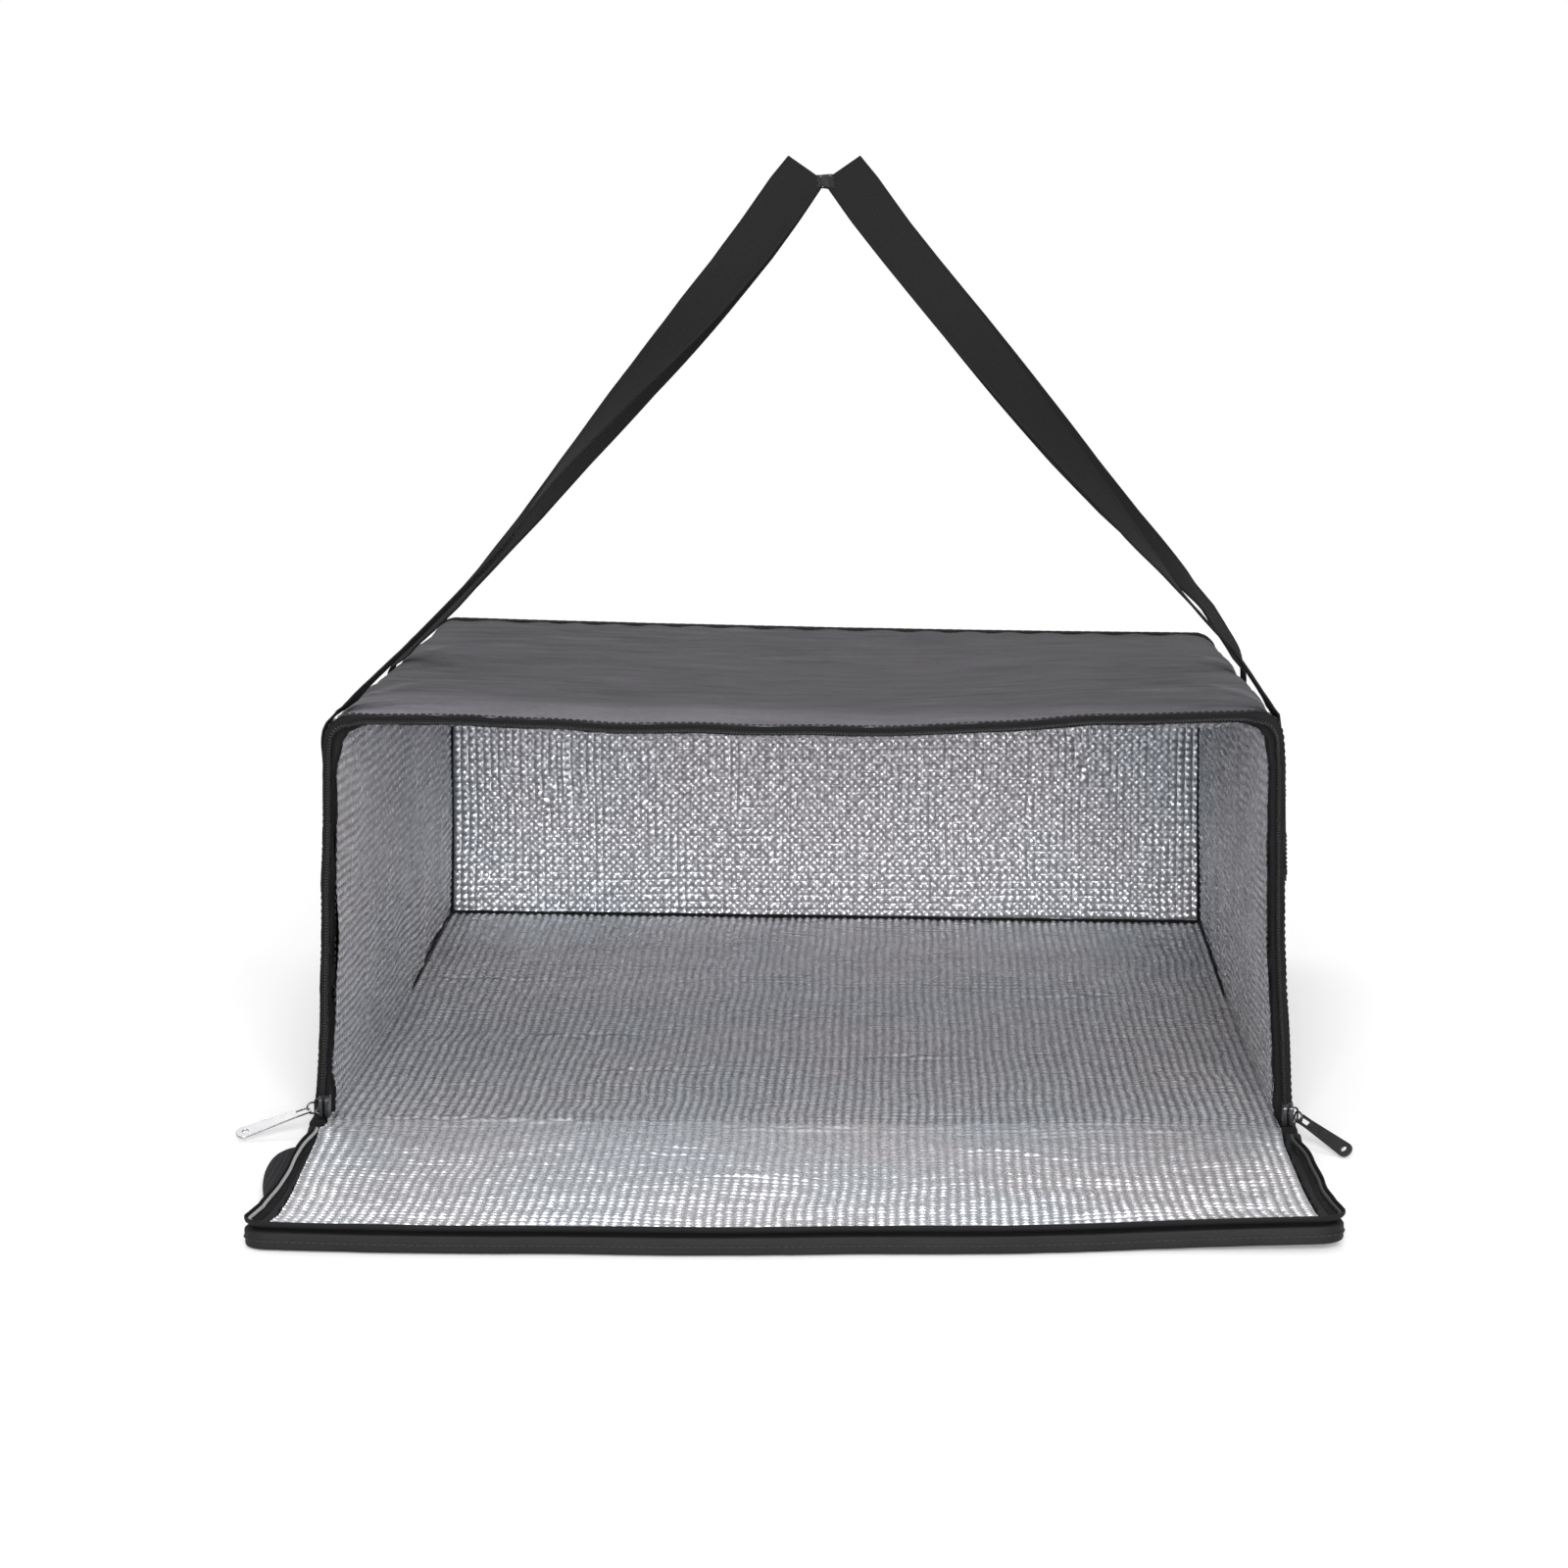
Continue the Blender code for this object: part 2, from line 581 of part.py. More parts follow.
def make_anchors():
    """Webbing sewn flat to the sides, rounded at the top under the straps' roots."""
    half = WEBBING_WIDTH / 2
    foot = half - ANCHOR_LENGTH
    outline = arc((0, 0), half, 0, 180, 2 * ARC_STEPS) + [(-half, foot), (half, foot)]
    for end, anchor_y in (("front", FRONT_ANCHOR_Y), ("rear", REAR_ANCHOR_Y)):
        for side, label in ((-1, "left"), (1, "right")):
            name = f"strap_anchor_{end}_{label}"
            curve = flat_curve(name, [outline], WEBBING_THICKNESS)
            place = (side * STRAP_LAYER, anchor_y, STRAP_AXIS_Z)
            add_part(name, curve, "webbing", None, place, (math.pi / 2, 0, math.pi / 2))


def plate_outline():
    """The slider's shield shape seen from the side: wide shoulders at the top, rounded foot."""
    half = SLIDER_HALF_WIDTH
    corner = PLATE_CORNER
    top = SLIDER_LENGTH / 2
    points = arc((half - corner, top - corner), corner, 0, 90)
    points += arc((-half + corner, top - corner), corner, 90, 180)
    points += arc((-half + corner, -top + corner), corner, 180, 270)
    points += arc((half - corner, -top + corner), corner, 270, 360)
    return points


def make_slider(side, label):
    """A zip slider: two plates joined by a neck, with lips round the coils and a bridge for the pull."""
    name = "slider_" + label
    center = Vector((side * ZIP_X, SLIDER_Y, SLIDER_MIDDLE))
    turn = Matrix.Rotation(math.pi / 2, 4, "Z") @ Matrix.Rotation(math.pi / 2, 4, "X")
    mesh = curve_to_mesh(name, flat_curve(name, [plate_outline()], 2 * PLATE_FACE), turn)
    slider = add_part(name, mesh, "slider", None, center)
    reach = SLIDER_LENGTH
    low = (-CHANNEL_HALF, -CHANNEL_REACH, -reach)
    channel = box_mesh(name + "_channel", low, (CHANNEL_HALF, CHANNEL_REACH, reach))
    apply_boolean(slider, add_cutter(name + "_channel", channel, center), "DIFFERENCE")
    slot_half = TAPE_THICKNESS / 2 + CHANNEL_CLEARANCE
    slot = box_mesh(name + "_slot", (-slot_half, -reach, -reach), (slot_half, reach, reach))
    apply_boolean(slider, add_cutter(name + "_slot", slot, center), "DIFFERENCE")
    half = COIL_SPACING / 2 - FIT_GAP
    grip = CHANNEL_HALF + PLATE_THICKNESS / 2
    top = SLIDER_LENGTH / 2
    neck = box_mesh(name + "_neck", (-grip, -half, top - NECK_LENGTH), (grip, half, top))
    apply_boolean(slider, add_cutter(name + "_neck", neck, center), "UNION")
    bridge = bridge_mesh(name + "_bridge", side)
    apply_boolean(slider, add_cutter(name + "_bridge", bridge, center), "UNION")
    return slider


def bridge_mesh(name, side):
    """The wire arch on the outer plate, which holds the pull."""
    foot = PLATE_FACE - PLATE_THICKNESS / 2
    crown = PLATE_FACE + BRIDGE_RISE - BRIDGE_WIRE_RADIUS
    bend = BRIDGE_RISE / 2
    half = BRIDGE_HALF_SPAN
    route = [(foot, -half)]
    route += arc((crown - bend, -half + bend), bend, 270, 360, ARC_STEPS // 2)
    route += arc((crown - bend, half - bend), bend, 0, 90, ARC_STEPS // 2)
    route += [(foot, half)]
    points = [(side * x, 0, z) for x, z in route]
    return curve_to_mesh(name, wire_curve(name, points, BRIDGE_WIRE_RADIUS))


def pull_outline():
    """The pull tab from its crossbar outwards, widening to a rounded end."""
    bar = PULL_THICKNESS / 2
    eye = PULL_EYE_WIDTH / 2
    wide = PULL_END_WIDTH / 2
    end = arc((PULL_LENGTH - wide, 0), wide, -90, 90, 2 * ARC_STEPS)
    return [(-bar, -eye), (PULL_WINDOW_END, -eye)] + end + [(PULL_WINDOW_END, eye), (-bar, eye)]


def make_pull(side, label, slider_axis):
    """The pull tab, hung by its crossbar under the bridge, its tip just clear of the floor."""
    bar = PULL_THICKNESS / 2
    half = PULL_WINDOW_WIDTH / 2
    window = [(bar, -half), (PULL_WINDOW_END, -half), (PULL_WINDOW_END, half), (bar, half)]
    hole = arc((PULL_LENGTH - PULL_HOLE_INSET, 0), PULL_HOLE_RADIUS, 0, 330, 11)
    curve = flat_curve("pull_" + label, [pull_outline(), window, hole], PULL_THICKNESS)
    droop = math.asin((SLIDER_MIDDLE - PULL_THICKNESS) / PULL_LENGTH)
    pull = add_part("pull_" + label, curve, "pull", slider_axis, slider_axis.location)
    outward = 0 if side > 0 else math.pi
    turn = Matrix.Rotation(side * droop, 3, "Y") @ Matrix.Rotation(outward, 3, "Z")
    pull.rotation_euler = turn.to_euler()


def make_sliders():
    for side, label in ((-1, "left"), (1, "right")):
        make_slider(side, label)
        lift = PLATE_FACE + PULL_AXIS_LIFT
        axis = add_axis("pull_axis_" + label, (side * (ZIP_X + lift), SLIDER_Y, SLIDER_MIDDLE))
        make_pull(side, label, axis)


def make_piping():
    """The piping in the seam between the sleeve and the back."""
    inset = -PIPING_RADIUS - FIT_GAP
    place = BACK_Y - PIPING_RADIUS
    points = [(x, place, z) for x, z in wall_path(inset, FOAM_OUTER)]
    add_part("rear_piping", wire_curve("rear_piping", points, PIPING_RADIUS), "binding")


def build_bag():
    make_shell()
    make_foam()
    make_liner()
    make_mouth_binding()
    make_base_bindings()
    make_mouth_zip()
    make_piping()
    make_anchors()


def build_flap():
    flap = add_axis("flap_axis", (0, HINGE_Y, HINGE_Z))
    make_flap_panel(flap)
    make_flap_binding(flap)
    make_flap_zip(flap)
    make_flap_tab(flap)


def main():
    clear_scene()
    make_collection("insulated_bag")
    make_collection("cutters")
    build_bag()
    build_flap()
    make_strap("front_strap", FRONT_ANCHOR_Y, 1)
    make_strap("rear_strap", REAR_ANCHOR_Y, -1)
    make_sliders()
    bpy.context.view_layer.update()


main()
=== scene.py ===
"""Insulated delivery bag: the cloth, foil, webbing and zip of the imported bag, on a plain stage.

X runs across the mouth, Y from the mouth to the back, Z up. All lengths are in metres.
"""

import math

import bmesh
import bpy
import numpy as np
from bpy.props import FloatProperty, FloatVectorProperty, PointerProperty
from mathutils import Matrix, Vector


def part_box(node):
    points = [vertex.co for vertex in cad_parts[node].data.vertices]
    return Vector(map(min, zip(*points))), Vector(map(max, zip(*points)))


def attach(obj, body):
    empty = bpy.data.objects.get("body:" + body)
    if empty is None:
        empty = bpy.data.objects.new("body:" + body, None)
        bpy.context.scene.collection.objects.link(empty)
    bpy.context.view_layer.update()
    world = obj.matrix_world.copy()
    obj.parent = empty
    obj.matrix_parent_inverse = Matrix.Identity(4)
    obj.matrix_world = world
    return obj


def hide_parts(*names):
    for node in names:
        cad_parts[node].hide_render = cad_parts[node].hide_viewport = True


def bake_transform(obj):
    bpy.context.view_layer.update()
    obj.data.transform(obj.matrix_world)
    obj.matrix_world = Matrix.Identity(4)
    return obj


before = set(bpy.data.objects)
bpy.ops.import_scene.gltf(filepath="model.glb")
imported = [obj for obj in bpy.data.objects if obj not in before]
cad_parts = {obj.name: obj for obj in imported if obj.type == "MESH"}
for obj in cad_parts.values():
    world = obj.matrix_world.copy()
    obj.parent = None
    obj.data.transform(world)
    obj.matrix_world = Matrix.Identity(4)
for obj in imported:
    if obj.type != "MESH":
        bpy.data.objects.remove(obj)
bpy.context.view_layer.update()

bl_info = {
    "name": "Insulated Delivery Bag",
    "version": (1, 0, 0),
    "blender": (4, 5, 0),
    "location": "View3D > Sidebar > Delivery Bag",
    "description": "Builds a foil-lined delivery bag with a zip-round flap and webbing straps",
    "category": "Add Mesh",
}

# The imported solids' own places
HALF_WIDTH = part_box("shell_sleeve")[1].x
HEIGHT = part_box("shell_sleeve")[1].z
FRONT_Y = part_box("foam_top")[0].y
BACK_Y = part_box("shell_back")[1].y
FLAP_FRONT_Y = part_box("flap_binding")[0].y
CORNER_RADIUS = 0.013
WALL = 0.0085
HINGE_Y = -0.2844
HINGE_Z = 0.0008
FOLD_START_Y = -0.2764
FOLD_END_Y = -0.2924
FOLD = ((0, FOLD_START_Y, 0), (0, FOLD_END_Y, 0))
LINING_FRONT = FRONT_Y + 0.004
LINING_DIP = -0.0003
TAPE_INSET = 0.00425
BINDING_DEPTH = 0.008
MOUTH_TAPE_FRONT = -0.2663
MOUTH_COIL_Y = -0.2679
FLAP_TAPE_TOP = 0.0113
FLAP_COIL_Z = 0.0129
COIL_BASE = 0.0127
FLAP_ZIP_BASE = 0.02955
COIL_RADIUS = 0.0013
PULL_AXIS_X = 0.25985
SLIDER_Y = -0.2701
SLIDER_Z = 0.0193
RING_REACH = 0.0052
RING_RADIUS = 0.0030
WIRE_RADIUS = 0.00055
FITTING_SHIFT = {-1: (-0.0048, -0.0010, -0.0040), 1: (0.0044, -0.0030, -0.0045)}
FLAP_COIL_RADIUS = 0.0009
STITCH_RADIUS = 0.00034
STITCH_INSET = 0.0062
STITCH_SHARE = 0.72
PIPING_RADIUS = 0.0013

# How each pull hangs, in degrees: below the level, raised again by its ring, and its roll and forward swing
PULL_DROOP = 25.5
PULL_RAISE = 11.0
PULL_ROLL = {-1: 25.0, 1: 48.0}
PULL_SWING = {-1: 26.0, 1: 56.0}

# Carrying straps, as the solids have them
WEBBING_WIDTH = 0.026
WEBBING_THICKNESS = 0.0015
STRAP_AXIS_Z = 0.210
ANCHOR_FOOT_Z = 0.138
ANCHOR_X = 0.26105
STRAP_X = 0.26285
ROOT_STRAIGHT = 0.0145
ROOT_RISE = 0.012
SHOULDER_REACH = 0.168
APEX_PITCH = math.radians(53)
APEX_Y = -0.0995
APEX_HEIGHT = 0.527
APEX_GAP = 0.0003
STRAPS = (("front_strap", -0.234, 1), ("rear_strap", 0.035, -1))

# The straps' stitches: the box's half width and heights on the foot, the heights of the rows above it, and
# the bar tack's rows on each face, their pitch, half width and tilt
BOX_HALF = 0.0098
BOX_LOW = ANCHOR_FOOT_Z + 0.003
BOX_HIGH = ANCHOR_FOOT_Z + 0.025
ROW_HEIGHTS = (0.184, 0.187)
TACK_ROWS = 14
TACK_PITCH = 0.00052
TACK_REACH = 0.0052
TACK_TILT = 0.0005

# The bag as the photograph shows it. At the mouth: heights and how far the sides move outwards there, then
# places across the top edge and how far it moves up. Last, places along the flap, and its sides' moves outwards
SIDE_HEIGHTS = (0.0, 0.012, 0.020, 0.055, 0.081, 0.108, 0.135, 0.162, 0.195, 0.220)
LEFT_SPREAD = (0.0085, 0.0078, 0.0066, 0.0042, 0.0036, 0.0024, 0.0022, 0.0008, 0.0, -0.0018)
RIGHT_SPREAD = (0.0060, 0.0045, 0.0032, 0.0014, -0.0006, -0.0020, -0.0026, -0.0030, -0.0035, -0.0058)
FRONT_ACROSS = (-0.26, -0.212, -0.180, -0.158, -0.105, -0.05, 0.02, 0.077, 0.123, 0.155, 0.208, 0.26)
FRONT_RISE = (0.0074, 0.0071, 0.0070, 0.0060, 0.0033, 0.0029, 0.0018, 0.0029, 0.0062, 0.0085, 0.0100, 0.0115)
FLAP_PLACES = (-0.5036, -0.495, -0.470, -0.430, -0.360, -0.318, -0.2764)
FLAP_LEFT_SPREAD = (0.0075, 0.0055, 0.0012, 0.0, 0.0012, 0.0034, 0.0078)
FLAP_RIGHT_SPREAD = (0.0085, 0.0070, 0.0045, 0.0040, 0.0036, 0.0034, 0.0058)

# How far the straps' left and right halves are moved to the right, against the height
LEFT_HEIGHTS = (0.138, 0.162, 0.195, 0.210, 0.214, 0.218, 0.222, 0.226, 0.230, 0.245, 0.260, 0.292, 0.315,
                0.350, 0.390, 0.437, 0.469, 0.490, 0.515)
LEFT_SHIFT = (-0.0021, -0.0009, -0.0002, 0.0002, 0.0008, 0.0020, 0.0045, 0.0090, 0.0124, 0.0154, 0.0165,
              0.0158, 0.0160, 0.0142, 0.0130, 0.0128, 0.0122, 0.0102, 0.0068)
RIGHT_HEIGHTS = (0.138, 0.195, 0.212, 0.220, 0.229, 0.245, 0.260, 0.282, 0.303, 0.319, 0.350, 0.390, 0.437,
                 0.469, 0.490, 0.515)
RIGHT_SHIFT = (-0.0018, -0.0035, -0.0055, -0.0075, -0.0085, -0.0050, -0.0010, 0.0, -0.0012, -0.0030, -0.0032,
               -0.0015, 0.0010, 0.0020, 0.0030, 0.0058)

# Where the front strap's halves stray from that shift, by bell curves: how far, at which height, and how far
# at the lower height
FRONT_STRAY = {-1: (0.0046, 0.308, -0.0032), 1: (-0.0052, 0.286, 0.0006)}
LOW_STRAY_HEIGHT = 0.240

# How many degrees each half is turned edge-on to the front, against its share of the way from root to top
LEFT_TWIST = ((0.0, 0.08, 0.20, 0.33, 0.38, 0.42, 0.47, 0.51, 0.57, 0.63, 0.69, 0.74, 0.80, 0.87, 1.0),
              (90, 84, 80, 79, 79, 79, 76.5, 72.5, 66, 55.5, 45, 31, 15, 5, 0))
RIGHT_TWIST = ((0.0, 0.06, 0.14, 0.33, 0.36, 0.40, 0.45, 0.51, 0.57, 0.63, 0.69, 0.80, 1.0),
               (90, 83, 78, 77, 76, 72, 62, 54, 44, 34, 24, 8, 0))
REAR_LEFT_TWIST = ((0.33, 0.38, 0.42, 0.47, 0.51, 0.57, 0.63, 0.69, 0.74, 0.80, 0.87, 1.0),
                   (90, 86, 83, 78, 74, 66.5, 55.5, 45, 31, 15, 5, 0))
REAR_RIGHT_TWIST = ((0.30, 0.36, 0.40, 0.45, 0.51, 0.57, 0.63, 0.69, 0.80, 1.0),
                    (90, 79, 73, 63, 54.5, 44, 34, 24, 8, 0))

# How far the flap's front edge reaches past its straight line
FLAP_ACROSS = (-0.26, -0.14, 0.0, 0.10, 0.17, 0.26)
FLAP_REACH = (0.0060, 0.0130, 0.0125, 0.0080, 0.0020, -0.0020)

# The flap's left lip is narrower from the fold to the first of these distances, and fades to the second
NARROW_LIP = (0.060, 0.190)

# Creases in the floor lining and the flap, as (x, y) ends that the photograph shows
CREASES = (
    ((-0.139, 0.236), (-0.054, 0.240)), ((-0.269, 0.071), (-0.121, 0.076)),
    ((-0.047, 0.078), (0.015, 0.080)), ((0.122, 0.043), (0.185, 0.045)),
    ((0.205, 0.176), (0.232, 0.172)), ((-0.200, -0.060), (-0.080, -0.052)),
    ((0.020, -0.110), (0.110, -0.118)), ((-0.150, -0.150), (-0.030, -0.142)),
    ((-0.235, -0.272), (-0.090, -0.280)), ((-0.070, -0.285), (0.060, -0.292)),
    ((0.080, -0.288), (0.235, -0.300)), ((-0.120, -0.350), (-0.020, -0.345)),
    ((0.060, -0.330), (0.180, -0.362)), ((-0.060, -0.400), (0.020, -0.392)),
)

# Width and share of the height of the creases in the floor's foil and in the flap's
FLOOR_CREASE = (0.0026, 1.0)
FLAP_CREASE = (0.0036, 0.65)

# Hanging folds in the back wall's foil: (x, z) ends and width
BACK_FOLDS = (
    ((-0.172, 0.150), (-0.172, 0.100), 0.0022),
    ((-0.176, 0.130), (-0.196, 0.075), 0.0026),
    ((-0.172, 0.212), (-0.172, 0.140), 0.0020),
    ((0.150, 0.180), (0.182, 0.110), 0.0030),
)

# Creases of the outer cloth from a strap's root: reach over the top, turn to the back and depth
ROOT_CREASES = ((0.060, 0.020, 1.9), (0.040, -0.022, 1.5), (0.085, -0.002, 1.1))

# The photograph's camera: its width and focal length in pixels, its place, and its angles in degrees
PIXELS = 1600
FOCAL_PIXELS = 4000
CAMERA_PLACE = (0.054, -2.343, 0.499)
CAMERA_DROP = 8.39
CAMERA_TURN = 1.80

# The lamps: the setting of their power, place, target and width
LAMPS = {
    "key_lamp": ("key", (0.15, -3.0, 1.02), (0.0, -0.1, 0.1), 1.4),
    "back_lamp": ("back", (-0.1, 0.9, 2.6), (0.0, -0.3, 0.1), 1.7),
}

# Each woven cloth's colour setting and its multiple, roughness, pitch of ribs and picks, relief, unevenness,
# scales of clouds and grain, and how far the clouds are drawn out across the bag
CLOTHS = {
    "charcoal_cloth": ("shell_color", 1.0, 0.62, 0.00045, 0.0009, 0.00010, 0.8, 9.0, 260.0, 2.0),
    "black_tape": ("tape_color", 1.0, 0.72, 0.0008, 0.0011, 0.00018, 0.5, 14.0, 900.0, 1.0),
    "dark_band": ("band_color", 1.0, 0.62, 0.0006, 0.0010, 0.00012, 0.5, 30.0, 700.0, 1.0),
    "black_webbing": ("webbing_color", 1.0, 0.70, 0.0013, 0.0017, 0.00030, 0.35, 14.0, 900.0, 1.0),
    "tab_webbing": ("webbing_color", 4.2, 0.74, 0.0022, 0.0026, 0.00045, 0.6, 60.0, 500.0, 1.0),
    "thread": ("thread_color", 1.0, 0.55, 0.0003, 0.0006, 0.00005, 0.2, 14.0, 900.0, 1.0),
}

# Each foil panel's painted shade level, its painted shade between the dimples and how much painted highlight
# their crowns add, its relief, and how much painted light it has towards the mouth and towards its middle
FOIL_PANEL_SHADING = {
    "floor": (0.88, 0.42, 0.66, 0.80, 0.20, 0.0),
    "flap": (1.0, 0.67, 0.40, 0.55, 0.0, 0.16),
    "left": (0.80, 0.42, 0.66, 0.80, 0.30, 0.0),
    "right": (0.67, 0.42, 0.66, 0.80, 0.30, 0.0),
    "back": (1.0, 0.56, 0.48, 0.87, 0.0, 0.0),
    "top": (1.0, 0.42, 0.66, 0.80, 0.0, 0.0),
}

# The line beside the top's edge that the painted fold shade and highlight start from, and the middle of the
# painted highlight on the front roll
FOLD_EDGE_X = 0.2560
ROLL_HIGHLIGHT_Y = -0.240

# Folds in the top beside the straps' roots, painted as shade and highlight: distance of their start from that
# line, its place along Y, direction in degrees, length, width, and how much painted highlight (or, below 0,
# painted shade) the cloth has there
ROOT_FOLD_SHADING = (
    (0.001, -0.012, 75.0, 0.080, 0.0052, -0.95),
    (0.003, 0.052, 63.0, 0.060, 0.0040, 0.75),
    (0.001, -0.045, 54.0, 0.065, 0.0034, -0.45),
    (0.004, -0.175, 71.0, 0.105, 0.0044, 0.95),
    (0.004, -0.190, 62.0, 0.075, 0.0030, -0.40),
)


def length_setting(label, default, text):
    return FloatProperty(name=label, default=default, unit="LENGTH", description=text)


def power_setting(label, default, text):
    return FloatProperty(name=label, default=default, min=0.0, unit="POWER", description=text)


def color_setting(label, default, text):
    return FloatVectorProperty(name=label, default=default, subtype="COLOR", size=3, description=text)


class ClothSettings(bpy.types.PropertyGroup):
    """Shape and colour of the outer cloth, its tapes and the webbing."""

    rear_sag: length_setting("Rear sag", 0.0015, "How far the rear top edge's middle hangs below its corners")
    belly: length_setting("Top belly", 0.0030, "How far the top hangs between its front and rear edges")
    wrinkle: length_setting("Wrinkle height", 0.0013, "Height of the outer cloth's wrinkles")
    shell_color: color_setting("Outer cloth", (0.088, 0.084, 0.094), "Colour of the satin outer cloth")
    tape_color: color_setting("Edge tape", (0.006, 0.006, 0.0065), "Colour of the edge binding and zip tape")
    band_color: color_setting("Flap band", (0.010, 0.010, 0.0105), "Colour of the flap's band and rear seam")
    webbing_color: color_setting("Webbing", (0.0065, 0.0065, 0.007), "Colour of the carrying straps")
    thread_color: color_setting("Thread", (0.080, 0.080, 0.083), "Colour of the sewing thread")


class FoilSettings(bpy.types.PropertyGroup):
    """Shape and colour of the dimpled foil lining."""

    pitch: length_setting("Dimple pitch", 0.005, "Distance from one embossed dimple to the next")
    height: length_setting("Dimple height", 0.0010, "How far the dimples stand out of the foil")
    crease: length_setting("Crease height", 0.0016, "Height of the soft creases in the lining")
    floor_rise: length_setting("Floor rise", 0.017, "How far the loose floor lining rises towards the back")
    color: color_setting("Foil", (0.92, 0.925, 0.95), "Colour of the foil")


class ZipSettings(bpy.types.PropertyGroup):
    """Teeth and colours of the zip."""

    tooth_pitch: length_setting("Tooth pitch", 0.0016, "Distance from one turn of the coil to the next")
    filament: length_setting("Filament radius", 0.00036, "Radius of the nylon that the coil is wound from")
    # The flap's coil is painted grey as a highlight on the zip's dark nylon, while the mouth's coil shows the
    # nylon dark.
    flap_coil_highlight_color: color_setting("Flap coil", (0.26, 0.26, 0.265), "Colour of the coil round the flap")
    mouth_color: color_setting("Mouth coil", (0.006, 0.006, 0.0065), "Colour of the coil round the mouth")
    slider_color: color_setting("Slider", (0.030, 0.030, 0.032), "Colour of the sliders and stops")
    pull_color: color_setting("Pull tab", (0.40, 0.40, 0.41), "Colour of the pull tabs")


class StageSettings(bpy.types.PropertyGroup):
    """Floor and light around the bag."""

    sky: FloatProperty(name="Sky light", default=0.52, min=0.0,
                       description="Strength of the even light from all round")
    key: power_setting("Key light", 116.0, "Power of the large soft lamp in front of and above the bag")
    back: power_setting("Back light", 24.0, "Power of the soft lamp behind and above the bag")
    floor_color: color_setting("Floor", (0.88, 0.88, 0.88), "Colour of the floor")


def rise(low, high, value):
    """Goes from 0 at low to 1 at high along a smooth step: three times the square less twice the cube."""
    share = np.clip((value - low) / (high - low), 0.0, 1.0)
    return share * share * (3.0 - 2.0 * share)


def cloud(u, v, cell_u, cell_v, seed):
    """Soft relief from -1 to 1: fixed random heights on a lattice of cells, joined by smooth steps."""
    table = np.random.default_rng(seed).uniform(-1.0, 1.0, (64, 64))
    a, b = u / cell_u + 500.0, v / cell_v + 500.0
    i, j = np.floor(a).astype(int), np.floor(b).astype(int)
    p, q = rise(0.0, 1.0, a - i), rise(0.0, 1.0, b - j)
    i, j = i % 64, j % 64
    near = table[i, j] * (1 - p) + table[(i + 1) % 64, j] * p
    far = table[i, (j + 1) % 64] * (1 - p) + table[(i + 1) % 64, (j + 1) % 64] * p
    return near * (1 - q) + far * q


def fold_line(u, v, start, end, width):
    """A crease from 1 on the line between two places to 0 beside it: a bell curve of the distance."""
    line = np.subtract(end, start)
    share = np.clip(((u - start[0]) * line[0] + (v - start[1]) * line[1]) / (line @ line), 0.0, 1.0)
    off = np.hypot(u - start[0] - share * line[0], v - start[1] - share * line[1])
    return np.exp(-(off / width) ** 2) * np.sin(np.pi * np.clip(share, 0.04, 0.96))


def grid(first, second):
    """Two ranges spread over a grid: the first down its rows, the second across its columns."""
    return np.meshgrid(first, second, indexing="ij")


def circle(count):
    """Angles at even steps round a circle."""
    return np.linspace(0.0, 2 * math.pi, count + 1)[:count]


def unit(vectors):
    """Rows of vectors, each made one long."""
    return vectors / np.linalg.norm(vectors, axis=1, keepdims=True)


def distances(line):
    """The distance along a line from its first point to each."""
    return np.concatenate([[0.0], np.cumsum(np.linalg.norm(np.diff(line, axis=0), axis=1))])


def sample(line, at, where):
    """A line's points at other distances along it."""
    return np.stack([np.interp(where, at, column) for column in line.T], -1)


def settle(points):
    """How the soft bag stands. The mouth's top edge follows the measured rise, the rear one hangs in a
    parabola, the sides follow the spread at the mouth, which fades towards the back, and the wall is
    squeezed to half its thickness along the mouth's top and by less along its sides."""
    cloth = bpy.context.scene.delivery_bag_cloth
    x, y, z = points[..., 0], points[..., 1], points[..., 2]
    across = np.clip(x / HALF_WIDTH, -1.03, 1.03)
    depth = np.clip((y - FRONT_Y) / (BACK_Y - FRONT_Y), 0.0, 1.0)
    front = np.interp(x, FRONT_ACROSS, FRONT_RISE) + 0.0004 * np.sin(23.0 * across + 0.7) * (1 - across ** 2)
    rear = 0.0010 - 0.0045 * across - cloth.rear_sag * (1 - across ** 2)
    belly = cloth.belly * np.sin(np.pi * depth) * (1 - across ** 2)
    drop = front * (1 - depth) + rear * depth - belly
    left = np.interp(z, SIDE_HEIGHTS, LEFT_SPREAD)
    right = np.interp(z, SIDE_HEIGHTS, RIGHT_SPREAD)
    spread = np.where(x < 0, -left, right) * np.abs(across) ** 3 * (1 - 0.75 * depth)
    squeeze = 0.5 * (1 - rise(0.010, 0.060, y - FRONT_Y)) * (1 - rise(0.010, 0.030, HEIGHT - z))
    squeeze = squeeze * (1 - rise(0.236, 0.251, np.abs(x)))
    lifted = z + (HEIGHT - z) * squeeze + drop * rise(0.150, HEIGHT, z)
    inwards = HALF_WIDTH - np.abs(x)
    thin = rise(0.0045, WALL, inwards) * (1 - rise(0.010, 0.030, inwards))
    thin = thin * (1 - rise(0.010, 0.060, y - FRONT_Y)) * rise(0.015, 0.035, z) * (1 - rise(0.190, 0.208, z))
    thin = thin * np.where(x < 0, -0.0030, 0.0008)
    return np.stack([x + spread + thin, y, lifted], -1)


